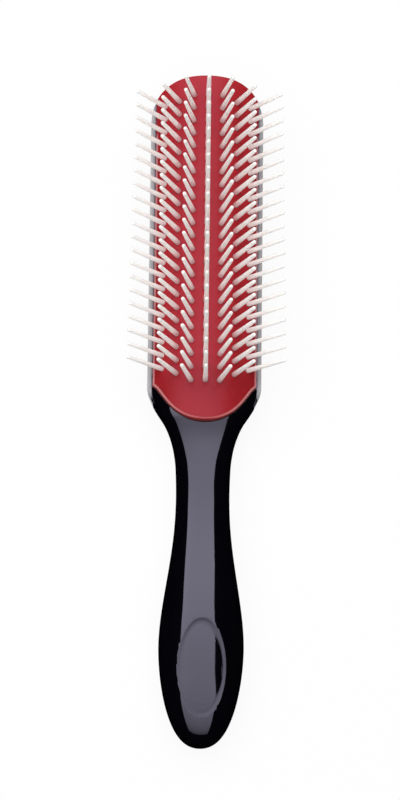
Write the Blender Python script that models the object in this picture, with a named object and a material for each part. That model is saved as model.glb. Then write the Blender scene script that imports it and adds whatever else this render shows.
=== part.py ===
"""A seven-row styling brush: a moulded handle, a slide-in rubber pad and seven rows of nylon pins.

Metres, +Z up. The brush lies on its back with its pins up, its head towards +Y and its grip
towards -Y. The origin is on the surface that it lies on, under the middle of the brush.
"""

import math
from dataclasses import dataclass

import bmesh
import bpy
from mathutils import Matrix, Vector

MM = 0.001

# Whole brush
OVERALL_LENGTH = 215.0 * MM
CLEARANCE = 0.3 * MM
OVERRUN = 3.0 * MM
MERGE_DISTANCE = 0.001 * MM

# Head of the handle: a shallow tray with a lip along each side
HEAD_WIDTH = 35.8 * MM
TIP_ROUND_LENGTH = 15.0 * MM
TIP_FLAT_WIDTH = 3.0 * MM
RIM_HEIGHT = 11.8 * MM
RIM_WIDTH = 1.1 * MM
RIM_CORNER = 0.4 * MM
SHOULDER_LIP_WIDTH = 1.3 * MM
SEAT_DEPTH = 0.3 * MM
LIP_OVERHANG = 1.1 * MM
LIP_THICKNESS = 1.5 * MM
LEDGE_WIDTH = 1.8 * MM
SIDE_HEIGHT = 9.5 * MM
NOSE_LENGTH = 12.0 * MM
NOSE_RISE = 4.0 * MM
TIP_WALL_DROP = 0.6 * MM
TIP_WALL = 6.0 * MM
FLOOR_THICKNESS = 2.4 * MM
BACK_FLAT_SINK = 0.35 * MM
HEAD_BACK_EXPONENT = 2.6
# The tray's lower corner: (share of its half-width, share of its depth)
TROUGH_CORNER_SHARES = ((0.73, 0.02), (0.88, 0.16), (0.96, 0.45))
TIP_EXPONENT = 2.55

# Ribs across the tray, which stop a row of pins that is pressed in
RIB_COUNT = 5
RIB_THICKNESS = 1.6 * MM
RIB_END_GAP = 13.0 * MM
RIB_ROOT = 0.7 * MM

# Shoulder, neck and grip
SHOULDER_FROM_TIP = 101.5 * MM
SHOULDER_BLEND = 19.0 * MM
SHOULDER_STEP_DOWN = 0.7 * MM
NECK_FROM_TIP = 135.5 * MM
NECK_WIDTH = 16.7 * MM
NECK_BOTTOM = 1.6 * MM
NECK_TOP = 15.0 * MM
GRIP_FROM_BUTT = 30.85 * MM
GRIP_WIDTH = 26.4 * MM
GRIP_TOP = 19.0 * MM
GRIP_FLAT_SINK = 0.3 * MM
BUTT_CENTRE_HEIGHT = 9.0 * MM
BUTT_TAPER_EXPONENT = 1.8
BUTT_ROUND_EXPONENT = 2.5
GRIP_EXPONENT = 2.3
GRIP_EASE = 1.15
BUTT_END_SHARE = 0.12
# How the shoulder's width falls to the neck's: (share of the way, share of the width left to lose)
SHOULDER_SHARES = (
    (0.0, 1.0), (0.05, 0.965), (0.1, 0.9), (0.17, 0.78), (0.25, 0.605), (0.32, 0.44),
    (0.4, 0.3), (0.5, 0.175), (0.6, 0.09), (0.75, 0.025), (1.0, 0.0),
)

# Oval recess in the grip, left bare
RECESS_LENGTH = 30.0 * MM
RECESS_WIDTH = 14.8 * MM
RECESS_FROM_BUTT = 23.0 * MM
RECESS_DEPTH = 0.4 * MM

# Rubber pad
PAD_RADIUS = 25.4 * MM
PAD_THICKNESS = 2.2 * MM
PAD_EDGE_THICKNESS = 0.84 * MM
PAD_SIDE_WALL = 1.4 * MM
PAD_FLANGE_THICKNESS = 0.8 * MM
PAD_TIP_WALL = 2.0 * MM
PAD_END_FROM_TIP = 113.5 * MM
PAD_END_BOW = 12.2 * MM
# How the pad's lower edge rises to its ends: (share of its half-width, share of the bow)
PAD_END_SHARES = (
    (0.0, 0.0), (0.12, 0.01), (0.24, 0.04), (0.36, 0.1), (0.48, 0.19), (0.6, 0.32),
    (0.72, 0.5), (0.83, 0.71), (0.92, 0.89), (1.0, 1.0),
)

# Rows of pins
PIN_LENGTH = 17.0 * MM
PIN_BASE_RADIUS = 0.75 * MM
PIN_TIP_RADIUS = 0.6 * MM
# The ring between a pin's side and its end: (share of its tip radius, share of its end's height)
PIN_DOME_SHARES = (0.72, 0.62)
PIN_HOLE_CLEARANCE = 0.2 * MM
STRIP_WIDTH = 2.4 * MM
STRIP_THICKNESS = 1.4 * MM
STRIP_END_MARGIN = 2.2 * MM
PRESS_TRAVEL = 1.2 * MM

# Middle row and the inner row on each side of it
PIN_PITCH = 4.28 * MM
INNER_ROW_ARC = 4.55 * MM
INNER_FIRST_PIN = 6.4 * MM
INNER_PIN_COUNT = 23
INNER_SPLAY_DEGREES = (10.0, 10.5)

# Second row on each side, its pins between those of the inner rows
SECOND_ROW_ARC = 9.35 * MM
SECOND_FIRST_PIN = 8.35 * MM
SECOND_PIN_COUNT = 22
SECOND_SPLAY_DEGREES = (19.0, 20.0)

# Outer row on each side, whose pins fan out further towards the grip
OUTER_PIN_PITCH = 4.34 * MM
OUTER_ROW_ARC = 14.35 * MM
OUTER_FIRST_PIN = 9.45 * MM
OUTER_PIN_COUNT = 21
OUTER_SPLAY_DEGREES = (33.5, 40.5)

# How finely round shapes are cut
BACK_STEPS = 7
DOME_STEPS = 8
OVAL_TOP_STEPS = DOME_STEPS + 3
ARC_STEPS = 14
TIP_STEPS = 8
BUTT_STEPS = 8
PIN_SIDES = 6

# Worked out from the sizes above
TIP_Y = OVERALL_LENGTH / 2
BUTT_Y = -OVERALL_LENGTH / 2
HEAD_HALF = HEAD_WIDTH / 2
TIP_ROUND_Y = TIP_Y - TIP_ROUND_LENGTH
SHOULDER_Y = TIP_Y - SHOULDER_FROM_TIP
NECK_Y = TIP_Y - NECK_FROM_TIP
GRIP_Y = BUTT_Y + GRIP_FROM_BUTT
PAD_END_Y = TIP_Y - PAD_END_FROM_TIP

SEAT_HALF = HEAD_HALF - RIM_WIDTH
SEAT_Z = RIM_HEIGHT - SEAT_DEPTH
LIP_HALF = SEAT_HALF - LIP_OVERHANG
GROOVE_TOP = SEAT_Z - LIP_THICKNESS
GROOVE_FLOOR = GROOVE_TOP - PAD_FLANGE_THICKNESS - 2 * CLEARANCE
TROUGH_HALF = SEAT_HALF - LEDGE_WIDTH
TIP_WALL_TOP = GROOVE_FLOOR - TIP_WALL_DROP

PAD_HALF = SEAT_HALF - CLEARANCE
PAD_NECK_HALF = LIP_HALF - CLEARANCE
PAD_INNER_HALF = PAD_NECK_HALF - PAD_SIDE_WALL
PAD_EDGE_FLOOR = SEAT_Z + CLEARANCE
PAD_EDGE_TOP = PAD_EDGE_FLOOR + PAD_EDGE_THICKNESS
FLANGE_TOP = GROOVE_TOP - CLEARANCE
FLANGE_BOTTOM = FLANGE_TOP - PAD_FLANGE_THICKNESS
ARC_CENTRE_Z = PAD_EDGE_TOP - math.sqrt(PAD_RADIUS**2 - PAD_HALF**2)
PAD_INNER_RADIUS = PAD_RADIUS - PAD_THICKNESS
SHOULDER_CROWN = ARC_CENTRE_Z + PAD_RADIUS - SHOULDER_STEP_DOWN

STRIP_TOP_RADIUS = PAD_INNER_RADIUS - CLEARANCE
STRIP_BOTTOM_RADIUS = STRIP_TOP_RADIUS - STRIP_THICKNESS
RIB_TOP_RADIUS = STRIP_BOTTOM_RADIUS - PRESS_TRAVEL - CLEARANCE


@dataclass(frozen=True)
class RowLayout:
    """How the row or the two rows at one distance from the middle stand in the pad."""

    arc_from_middle: float
    pin_count: int
    pitch: float
    first_from_tip: float
    splay_degrees: tuple[float, float]


ROWS_FROM_MIDDLE = (
    RowLayout(0.0, INNER_PIN_COUNT, PIN_PITCH, INNER_FIRST_PIN, (0.0, 0.0)),
    RowLayout(INNER_ROW_ARC, INNER_PIN_COUNT, PIN_PITCH, INNER_FIRST_PIN, INNER_SPLAY_DEGREES),
    RowLayout(SECOND_ROW_ARC, SECOND_PIN_COUNT, PIN_PITCH, SECOND_FIRST_PIN, SECOND_SPLAY_DEGREES),
    RowLayout(OUTER_ROW_ARC, OUTER_PIN_COUNT, OUTER_PIN_PITCH, OUTER_FIRST_PIN, OUTER_SPLAY_DEGREES),
)


def clear_scene():
    """Removes whatever objects the file starts with."""
    for obj in list(bpy.data.objects):
        bpy.data.objects.remove(obj)


def new_collection(name):
    """A collection linked to the scene."""
    collection = bpy.data.collections.new(name)
    bpy.context.scene.collection.children.link(collection)
    return collection


def plastic(name, colour, roughness):
    """A Principled material of one colour."""
    material = bpy.data.materials.new(name)
    material.use_nodes = True
    shader = material.node_tree.nodes["Principled BSDF"]
    shader.inputs["Base Color"].default_value = (*colour, 1.0)
    shader.inputs["Roughness"].default_value = roughness
    shader.inputs["Metallic"].default_value = 0.0
    return material


def object_from_bmesh(name, bm, collection):
    """A mesh object made from bm, which is freed."""
    mesh = bpy.data.meshes.new(name)
    bm.to_mesh(mesh)
    bm.free()
    obj = bpy.data.objects.new(name, mesh)
    collection.objects.link(obj)
    return obj


def as_helper(obj):
    """Marks obj as a cutter or guide, which is no piece of the brush."""
    obj.hide_render = True
    obj.display_type = "WIRE"
    return obj


def prism(name, outline, half_depth, centre, rotation, collection):
    """A flat outline made as a filled 2D curve, given a depth and turned into a closed mesh."""
    curve = bpy.data.curves.new(name + "_curve", "CURVE")
    curve.dimensions = "2D"
    curve.fill_mode = "BOTH"
    curve.extrude = half_depth
    spline = curve.splines.new("POLY")
    spline.points.add(len(outline) - 1)
    for point, (across, along) in zip(spline.points, outline):
        point.co = Vector((across, along, 0.0)).to_4d()
    spline.use_cyclic_u = True
    guide = bpy.data.objects.new(name + "_guide", curve)
    bpy.context.scene.collection.objects.link(guide)
    guide.matrix_world = Matrix.Translation(centre) @ rotation.to_4x4()
    bpy.context.view_layer.update()
    graph = bpy.context.evaluated_depsgraph_get()
    mesh = bpy.data.meshes.new_from_object(guide.evaluated_get(graph))
    bm = bmesh.new()
    bm.from_mesh(mesh)
    bm.transform(guide.matrix_world)
    bmesh.ops.remove_doubles(bm, verts=bm.verts, dist=MERGE_DISTANCE)
    bmesh.ops.recalc_face_normals(bm, faces=bm.faces)
    bpy.data.objects.remove(guide)
    return object_from_bmesh(name, bm, collection)


def profile_prism(name, outline, y_low, y_high, collection):
    """A section drawn in X and Z, carried along Y from y_low to y_high."""
    upright = Matrix.Rotation(math.pi / 2, 3, "X")
    centre = (0.0, (y_low + y_high) / 2, 0.0)
    return prism(name, outline, (y_high - y_low) / 2, centre, upright, collection)


def plan_prism(name, outline, z_low, z_high, collection):
    """An outline seen from above, carried from z_low up to z_high."""
    centre = (0.0, 0.0, (z_low + z_high) / 2)
    return prism(name, outline, (z_high - z_low) / 2, centre, Matrix.Identity(3), collection)


def combine(target, other, operation):
    """Adds an exact Boolean to target."""
    modifier = target.modifiers.new(other.name, "BOOLEAN")
    modifier.object = other
    modifier.operation = operation
    modifier.solver = "EXACT"


def loft(name, rings, collection):
    """A closed skin over rings that hold the same number of points, with a flat cap at each end."""
    bm = bmesh.new()
    made = [[bm.verts.new(point) for point in ring] for ring in rings]
    count = len(rings[0])
    for one, other in zip(made, made[1:]):
        for i in range(count):
            j = (i + 1) % count
            bm.faces.new((one[i], one[j], other[j], other[i]))
    bm.faces.new(reversed(made[0]))
    bm.faces.new(made[-1])
    bmesh.ops.recalc_face_normals(bm, faces=bm.faces)
    return object_from_bmesh(name, bm, collection)


def smoothstep(share):
    """Eases a share from 0 to 1 with no slope at either end."""
    share = min(max(share, 0.0), 1.0)
    return share * share * (3 - 2 * share)


def from_table(table, share):
    """Reads a table of (share, value) pairs, in straight steps between its entries."""
    for (low, first), (high, second) in zip(table, table[1:]):
        if share <= high:
            return first + (second - first) * (share - low) / (high - low)
    return table[-1][1]


def mirrored(half):
    """A closed outline from its right half, which starts and ends on the middle line."""
    return half + [(-across, along) for across, along in reversed(half[1:-1])]


def tip_half_width(y):
    """Half the head's width where its tip is rounded, seen from above."""
    share = min(max((y - TIP_ROUND_Y) / TIP_ROUND_LENGTH, 0.0), 1.0)
    rounded = HEAD_HALF * (1 - share**TIP_EXPONENT) ** (1 / TIP_EXPONENT)
    return max(rounded, TIP_FLAT_WIDTH / 2)


def tip_curve(inset):
    """Points of the rounded tip from the right side to the left, inset by a wall."""
    right = []
    for i in range(TIP_STEPS + 1):
        turn = i / TIP_STEPS * math.pi / 2
        across = max(HEAD_HALF * math.cos(turn) ** (2 / TIP_EXPONENT), TIP_FLAT_WIDTH / 2)
        along = TIP_ROUND_Y + TIP_ROUND_LENGTH * math.sin(turn) ** (2 / TIP_EXPONENT)
        scale = 1 - inset / TIP_ROUND_LENGTH
        right.append((across, TIP_ROUND_Y + (along - TIP_ROUND_Y) * scale))
    return right + [(-across, along) for across, along in reversed(right)]


def pad_end_curve(gap):
    """Points of the pad's lower end from left to right, moved outwards by a gap."""
    right = [(PAD_HALF * across, PAD_END_Y + PAD_END_BOW * along) for across, along in PAD_END_SHARES]
    (near_x, near_y), (edge_x, edge_y) = right[-2:]
    beyond = HEAD_HALF + OVERRUN
    right[-1] = (beyond, near_y + (beyond - near_x) * (edge_y - near_y) / (edge_x - near_x))
    spread = [(right[0][0], right[0][1] - gap)]
    for before, here, after in zip(right, right[1:], right[2:]):
        slope = math.atan2(after[1] - before[1], after[0] - before[0])
        spread.append((here[0] + gap * math.sin(slope), here[1] - gap * math.cos(slope)))
    spread.append((right[-1][0], right[-1][1] - gap))
    return [(-across, along) for across, along in reversed(spread[1:])] + spread


def outline_half_width(y):
    """Half the width of the handle seen from above."""
    if y >= TIP_ROUND_Y:
        return tip_half_width(y)
    if y >= SHOULDER_Y:
        return HEAD_HALF
    if y >= NECK_Y:
        way = (SHOULDER_Y - y) / (SHOULDER_Y - NECK_Y)
        return NECK_WIDTH / 2 + (HEAD_HALF - NECK_WIDTH / 2) * from_table(SHOULDER_SHARES, way)
    if y >= GRIP_Y:
        way = smoothstep(((NECK_Y - y) / (NECK_Y - GRIP_Y)) ** GRIP_EASE)
        return (NECK_WIDTH + (GRIP_WIDTH - NECK_WIDTH) * way) / 2
    return GRIP_WIDTH / 2 * butt_share(y)


def butt_share(y):
    """How much of the grip's section is left where the butt is rounded."""
    way = min(max((GRIP_Y - y) / GRIP_FROM_BUTT, 0.0), 1.0)
    return max((1 - way**BUTT_TAPER_EXPONENT) ** (1 / BUTT_ROUND_EXPONENT), BUTT_END_SHARE)


def side_heights(y):
    """Lowest and highest point of the oval section that the neck and the grip have at y."""
    to_neck = smoothstep((SHOULDER_Y - y) / (SHOULDER_Y - NECK_Y))
    to_grip = smoothstep((NECK_Y - y) / (NECK_Y - GRIP_Y))
    low = NECK_BOTTOM * to_neck - (NECK_BOTTOM + GRIP_FLAT_SINK) * to_grip
    high = SHOULDER_CROWN + (NECK_TOP - SHOULDER_CROWN) * to_neck + (GRIP_TOP - NECK_TOP) * to_grip
    if y < GRIP_Y:
        share = butt_share(y)
        low = BUTT_CENTRE_HEIGHT + (low - BUTT_CENTRE_HEIGHT) * share
        high = BUTT_CENTRE_HEIGHT + (high - BUTT_CENTRE_HEIGHT) * share
    return low, high


def back_quarter(half_width, low, middle, exponent):
    """Points from the bottom of a section out to its side."""
    points = []
    for i in range(BACK_STEPS + 1):
        turn = i / BACK_STEPS * math.pi / 2
        across = half_width * math.sin(turn) ** (2 / exponent)
        up = middle - (middle - low) * math.cos(turn) ** (2 / exponent)
        points.append((across, up))
    return points


def head_section(y):
    """Right half of the head's section: rounded back, upright side, flat lip and raised crown."""
    half_width = outline_half_width(y)
    nose = min(max((y - (TIP_Y - NOSE_LENGTH)) / NOSE_LENGTH, 0.0), 1.0)
    low = -BACK_FLAT_SINK + NOSE_RISE * (1 - math.sqrt(1 - nose * nose))
    points = back_quarter(half_width, low, SIDE_HEIGHT, HEAD_BACK_EXPONENT)
    corner = min(RIM_CORNER, half_width / 4)
    points.append((half_width, RIM_HEIGHT - corner))
    points.append((half_width - corner, RIM_HEIGHT))
    foot = half_width - min(SHOULDER_LIP_WIDTH, half_width / 2)
    rise = SHOULDER_CROWN - RIM_HEIGHT
    radius = (foot * foot + rise * rise) / (2 * rise)
    widest = math.asin(min(foot / radius, 1.0))
    for i in range(DOME_STEPS + 1):
        turn = widest * (1 - i / DOME_STEPS)
        points.append((radius * math.sin(turn), SHOULDER_CROWN - radius * (1 - math.cos(turn))))
    return points


def oval_section(y, inset):
    """Right half of the neck's and the grip's section, a soft oval, made smaller by inset."""
    low, high = side_heights(y)
    half_width = outline_half_width(y) - inset
    low, high = low + inset, high - inset
    middle = (low + high) / 2
    points = back_quarter(half_width, low, middle, GRIP_EXPONENT)
    for i in range(1, OVAL_TOP_STEPS + 1):
        turn = math.pi / 2 * (1 - i / OVAL_TOP_STEPS)
        across = half_width * math.sin(turn) ** (2 / GRIP_EXPONENT)
        up = middle + (high - middle) * math.cos(turn) ** (2 / GRIP_EXPONENT)
        points.append((across, up))
    return points


def handle_ring(y):
    """The handle's whole section at y, cut flat where it would sink below the surface it lies on."""
    blend = smoothstep((SHOULDER_Y - y) / SHOULDER_BLEND)
    head, oval = head_section(y), oval_section(y, 0.0)
    half = []
    for (head_x, head_z), (oval_x, oval_z) in zip(head, oval):
        across = head_x + (oval_x - head_x) * blend
        up = head_z + (oval_z - head_z) * blend
        half.append((across, max(up, 0.0)))
    half[0] = (0.0, half[0][1])
    half[-1] = (0.0, half[-1][1])
    return [Vector((across, y, up)) for across, up in mirrored(half)]


def evenly(start, end, count):
    """count places after start, the last of them at end."""
    return [start + (end - start) * (i + 1) / count for i in range(count)]


def handle_stations():
    """Places along Y of the handle's rings, from the tip to the butt."""
    places = [TIP_Y]
    for i in range(1, TIP_STEPS + 1):
        turn = (1 - i / TIP_STEPS) * math.pi / 2
        places.append(TIP_ROUND_Y + TIP_ROUND_LENGTH * math.sin(turn) ** (2 / TIP_EXPONENT))
    places += evenly(TIP_ROUND_Y, SHOULDER_Y, 2)
    places += evenly(SHOULDER_Y, SHOULDER_Y - SHOULDER_BLEND, 10)
    places += evenly(SHOULDER_Y - SHOULDER_BLEND, NECK_Y, 2)
    places += evenly(NECK_Y, GRIP_Y, 8)
    for i in range(1, BUTT_STEPS + 1):
        turn = i / BUTT_STEPS * math.pi / 2
        places.append(GRIP_Y - GRIP_FROM_BUTT * math.sin(turn))
    return places


def trough_profile(margin):
    """Right half of the tray's hollow from its floor to its ledge, grown outwards by a margin."""
    ledge = GROOVE_FLOOR - TIP_WALL_DROP / 2
    depth = ledge - FLOOR_THICKNESS
    half = [(0.0, FLOOR_THICKNESS - margin)]
    for across_share, up_share in TROUGH_CORNER_SHARES:
        half.append((TROUGH_HALF * across_share + margin, FLOOR_THICKNESS + depth * up_share - margin))
    half.append((TROUGH_HALF + margin, ledge))
    return half


def channel_profile():
    """Right half of the slot that the pad's edge slides in, open above."""
    return [
        (0.0, TIP_WALL_TOP), (TROUGH_HALF, TIP_WALL_TOP), (TROUGH_HALF, GROOVE_FLOOR),
        (SEAT_HALF, GROOVE_FLOOR), (SEAT_HALF, GROOVE_TOP), (LIP_HALF, GROOVE_TOP),
        (LIP_HALF, SEAT_Z), (SEAT_HALF, SEAT_Z),
        (SEAT_HALF, SHOULDER_CROWN + OVERRUN), (0.0, SHOULDER_CROWN + OVERRUN),
    ]


def arc_points(radius, widest_x):
    """Points of an arc about the pad's centre line from the side at widest_x to the middle."""
    widest = math.asin(widest_x / radius)
    points = []
    for i in range(ARC_STEPS + 1):
        turn = widest * (1 - i / ARC_STEPS)
        points.append((radius * math.sin(turn), ARC_CENTRE_Z + radius * math.cos(turn)))
    return points


def rib_profile():
    """Right half of a rib: rooted in the tray's wall, with an arched top under the pin strips."""
    wall = trough_profile(RIB_ROOT)[:-1]
    widest = wall[-1][0]
    return wall + arc_points(RIB_TOP_RADIUS, widest)


def make_ribs(helpers):
    """The ribs across the tray, evenly spaced between its ends."""
    first = TIP_Y - TIP_WALL - RIB_END_GAP
    last = PAD_END_Y + RIB_END_GAP
    ribs = []
    for i in range(RIB_COUNT):
        middle = first + (last - first) * i / (RIB_COUNT - 1)
        low, high = middle - RIB_THICKNESS / 2, middle + RIB_THICKNESS / 2
        rib = profile_prism(f"rib_{i + 1}", mirrored(rib_profile()), low, high, helpers)
        ribs.append(as_helper(rib))
    return ribs


def make_recess_cutter(helpers):
    """An upright oval with a floor that follows the grip's own curve, one recess depth down."""
    middle = BUTT_Y + RECESS_FROM_BUTT
    oval = []
    for i in range(2 * ARC_STEPS):
        turn = i / ARC_STEPS * math.pi
        across = RECESS_WIDTH / 2 * math.cos(turn)
        oval.append((across, middle + RECESS_LENGTH / 2 * math.sin(turn)))
    cutter = plan_prism("recess_cutter", oval, BUTT_CENTRE_HEIGHT, GRIP_TOP + OVERRUN, helpers)
    high = middle + RECESS_LENGTH / 2 + OVERRUN
    low = max(middle - RECESS_LENGTH / 2 - OVERRUN, BUTT_Y + RECESS_DEPTH)
    rings = []
    for y in [high] + evenly(high, low, 2 * BUTT_STEPS):
        half = oval_section(y, RECESS_DEPTH)
        rings.append([Vector((across, y, up)) for across, up in mirrored(half)])
    core = as_helper(loft("recess_core", rings, helpers))
    combine(cutter, core, "DIFFERENCE")
    return as_helper(cutter)


def make_handle(parts, helpers, material):
    """The one-piece handle: a tray-shaped head, a waisted neck and an oval grip."""
    handle = loft("handle", [handle_ring(y) for y in handle_stations()], parts)

    y_low, y_high = PAD_END_Y - OVERRUN, TIP_Y + OVERRUN
    channel = profile_prism("channel_cutter", mirrored(channel_profile()), y_low, y_high, helpers)
    far = HEAD_HALF + OVERRUN
    open_tip = [(far, TIP_Y + OVERRUN), (-far, TIP_Y + OVERRUN)]
    channel_plan = plan_prism(
        "channel_plan", pad_end_curve(CLEARANCE) + open_tip, -OVERRUN, GRIP_TOP + 2 * OVERRUN, helpers
    )
    combine(channel, as_helper(channel_plan), "INTERSECT")
    combine(handle, as_helper(channel), "DIFFERENCE")

    trough = profile_prism("trough_cutter", mirrored(trough_profile(0.0)), y_low, y_high, helpers)
    trough_plan = plan_prism(
        "trough_plan", pad_end_curve(CLEARANCE) + tip_curve(TIP_WALL), -OVERRUN, GRIP_TOP, helpers
    )
    combine(trough, as_helper(trough_plan), "INTERSECT")
    combine(handle, as_helper(trough), "DIFFERENCE")

    for rib in make_ribs(helpers):
        combine(handle, rib, "UNION")
    combine(handle, make_recess_cutter(helpers), "DIFFERENCE")
    handle.data.materials.append(material)
    return handle


def row_angle(row):
    """Turn of a row about the pad's centre line, for rows -3 to 3, 0 being the middle one."""
    return math.copysign(ROWS_FROM_MIDDLE[abs(row)].arc_from_middle / PAD_RADIUS, row)


def row_pins(row):
    """Root point and direction of each pin of a row, from the tip down, at the pad's surface."""
    layout = ROWS_FROM_MIDDLE[abs(row)]
    angle = row_angle(row)
    across, up = PAD_RADIUS * math.sin(angle), ARC_CENTRE_Z + PAD_RADIUS * math.cos(angle)
    pins = []
    for i in range(layout.pin_count):
        at_tip, at_end = layout.splay_degrees
        splay = math.copysign(math.radians(at_tip + (at_end - at_tip) * i / (layout.pin_count - 1)), row)
        root = Vector((across, TIP_Y - layout.first_from_tip - i * layout.pitch, up))
        pins.append((root, Vector((math.sin(splay), 0.0, math.cos(splay)))))
    return pins


def add_rod(bm, root, direction, below, above, radius_low, radius_high, dome):
    """A faceted tapered rod from below a root point to above it, with a rounded end of height dome."""
    length = below + above
    middle = root + direction * (above - below) / 2
    turn = Vector((0.0, 0.0, 1.0)).rotation_difference(direction)
    place = Matrix.Translation(middle) @ turn.to_matrix().to_4x4()
    made = bmesh.ops.create_cone(
        bm, cap_ends=True, segments=PIN_SIDES, radius1=radius_low, radius2=radius_high,
        depth=length, matrix=place,
    )
    if dome > 0:
        caps = {face for vert in made["verts"] for face in vert.link_faces if len(face.verts) == PIN_SIDES}
        top = max(caps, key=lambda face: face.calc_center_median().dot(direction))
        ring_share, rise_share = PIN_DOME_SHARES
        face = bmesh.ops.extrude_discrete_faces(bm, faces=[top])["faces"][0]
        centre = face.calc_center_median()
        for vert in face.verts:
            vert.co = centre + (vert.co - centre) * ring_share + direction * dome * rise_share
        poked = bmesh.ops.poke(bm, faces=[face])
        poked["verts"][0].co += direction * dome * (1 - rise_share)


def make_pad(parts, helpers, material):
    """The rubber pad: an arch with an edge that grips the tray's lips, and a wall over the tip."""
    wall_foot, wall_half = TIP_WALL_TOP + CLEARANCE, PAD_INNER_HALF - CLEARANCE
    outer = [(0.0, wall_foot), (wall_half, wall_foot), (wall_half, FLANGE_BOTTOM)]
    outer += [(PAD_HALF, FLANGE_BOTTOM), (PAD_HALF, FLANGE_TOP)]
    outer += [(PAD_NECK_HALF, FLANGE_TOP), (PAD_NECK_HALF, PAD_EDGE_FLOOR), (PAD_HALF, PAD_EDGE_FLOOR)]
    outer += arc_points(PAD_RADIUS, PAD_HALF)
    y_low, y_high = PAD_END_Y - OVERRUN, TIP_Y + OVERRUN
    pad = profile_prism("cushion_pad", mirrored(outer), y_low, y_high, parts)
    plan = plan_prism(
        "pad_plan", pad_end_curve(0.0) + tip_curve(0.0), -OVERRUN, GRIP_TOP + 2 * OVERRUN, helpers
    )
    combine(pad, as_helper(plan), "INTERSECT")

    inner = [(0.0, -OVERRUN), (PAD_INNER_HALF, -OVERRUN)] + arc_points(PAD_INNER_RADIUS, PAD_INNER_HALF)
    hollow = profile_prism("hollow_cutter", mirrored(inner), y_low - OVERRUN, y_high, helpers)
    inner_plan = plan_prism(
        "hollow_plan", pad_end_curve(2 * OVERRUN) + tip_curve(PAD_TIP_WALL),
        -2 * OVERRUN, GRIP_TOP + OVERRUN, helpers,
    )
    combine(hollow, as_helper(inner_plan), "INTERSECT")
    combine(pad, as_helper(hollow), "DIFFERENCE")

    bm = bmesh.new()
    radius = PIN_BASE_RADIUS + PIN_HOLE_CLEARANCE
    for row in range(-3, 4):
        for root, direction in row_pins(row):
            below, above = PAD_THICKNESS + CLEARANCE, PAD_EDGE_THICKNESS
            add_rod(bm, root, direction, below, above, radius, radius, 0.0)
    holes = as_helper(object_from_bmesh("hole_cutters", bm, helpers))
    combine(pad, holes, "DIFFERENCE")
    pad.data.materials.append(material)
    return pad


def make_pin_row(row, number, parts, helpers, material):
    """One row of pins on its carrier strip, moulded as one piece."""
    pins = row_pins(row)
    angle = row_angle(row)
    outward = Vector((math.sin(angle), 0.0, math.cos(angle)))
    half_length = (pins[0][0].y - pins[-1][0].y) / 2 + STRIP_END_MARGIN
    middle = Vector((0.0, (pins[0][0].y + pins[-1][0].y) / 2, ARC_CENTRE_Z))
    middle += outward * (STRIP_TOP_RADIUS - STRIP_THICKNESS / 2)

    size = Matrix.Diagonal((STRIP_WIDTH, 2 * half_length, STRIP_THICKNESS, 1.0))
    place = Matrix.Translation(middle) @ Matrix.Rotation(angle, 4, "Y") @ size
    bm = bmesh.new()
    bmesh.ops.create_cube(bm, size=1.0, matrix=place)
    strip = object_from_bmesh(f"pin_row_{number}", bm, parts)

    bm = bmesh.new()
    sink = PAD_RADIUS - STRIP_TOP_RADIUS + STRIP_THICKNESS / 2
    for root, direction in pins:
        above = PIN_LENGTH - PIN_TIP_RADIUS
        add_rod(bm, root, direction, sink, above, PIN_BASE_RADIUS, PIN_TIP_RADIUS, PIN_TIP_RADIUS)
    rods = as_helper(object_from_bmesh(f"pins_{number}", bm, helpers))
    combine(strip, rods, "UNION")
    strip.data.materials.append(material)
    return strip


def build():
    """Models the whole brush."""
    clear_scene()
    parts = new_collection("styling_brush")
    helpers = new_collection("cutters")
    black = plastic("black_gloss_plastic", (0.006, 0.006, 0.008), 0.12)
    red = plastic("red_rubber", (0.45, 0.03, 0.045), 0.4)
    white = plastic("white_nylon", (0.82, 0.8, 0.77), 0.35)
    make_handle(parts, helpers, black)
    make_pad(parts, helpers, red)
    for number, row in enumerate(range(-3, 4), start=1):
        make_pin_row(row, number, parts, helpers, white)


build()
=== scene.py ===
import logging
import math
from collections.abc import Iterable, Iterator, Sequence
from dataclasses import dataclass
from enum import Enum

import bmesh
import bpy
from mathutils import Matrix, Vector

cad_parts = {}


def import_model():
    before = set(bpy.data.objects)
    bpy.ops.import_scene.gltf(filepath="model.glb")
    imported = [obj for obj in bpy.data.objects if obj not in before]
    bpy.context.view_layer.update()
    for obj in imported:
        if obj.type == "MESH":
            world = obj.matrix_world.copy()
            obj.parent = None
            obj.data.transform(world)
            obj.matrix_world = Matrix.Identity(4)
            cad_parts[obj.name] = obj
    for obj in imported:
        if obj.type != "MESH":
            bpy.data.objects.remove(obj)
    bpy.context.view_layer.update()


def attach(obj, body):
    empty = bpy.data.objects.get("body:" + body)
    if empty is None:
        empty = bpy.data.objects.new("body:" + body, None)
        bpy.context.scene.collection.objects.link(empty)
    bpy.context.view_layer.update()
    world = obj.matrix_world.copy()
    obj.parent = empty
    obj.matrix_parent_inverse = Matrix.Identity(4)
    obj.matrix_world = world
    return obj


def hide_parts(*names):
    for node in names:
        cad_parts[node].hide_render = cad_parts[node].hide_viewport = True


MM = 0.001
QUARTER_TURN = math.pi / 2
MERGE = 0.01 * MM
LOG = logging.getLogger("styling_brush")

Pair = tuple[float, float]
Triple = tuple[float, float, float]
Ring = Sequence[Vector]
Piece = bpy.types.Object
Socket = bpy.types.NodeSocket


class Cut(Enum):
    """What a cutting tool does to the body that it is used on."""

    REMOVE = "DIFFERENCE"
    ADD = "UNION"
    KEEP_INSIDE = "INTERSECT"


class Side(Enum):
    """The two sides of the brush, seen from its butt."""

    LEFT = -1
    RIGHT = 1


class Stand(Enum):
    """How a flat stage piece stands, by the turn that it is given."""

    LYING = Matrix.Identity(4)
    ACROSS = Matrix.Rotation(QUARTER_TURN, 4, "X")
    ALONG = Matrix.Rotation(QUARTER_TURN, 4, "Y")


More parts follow.
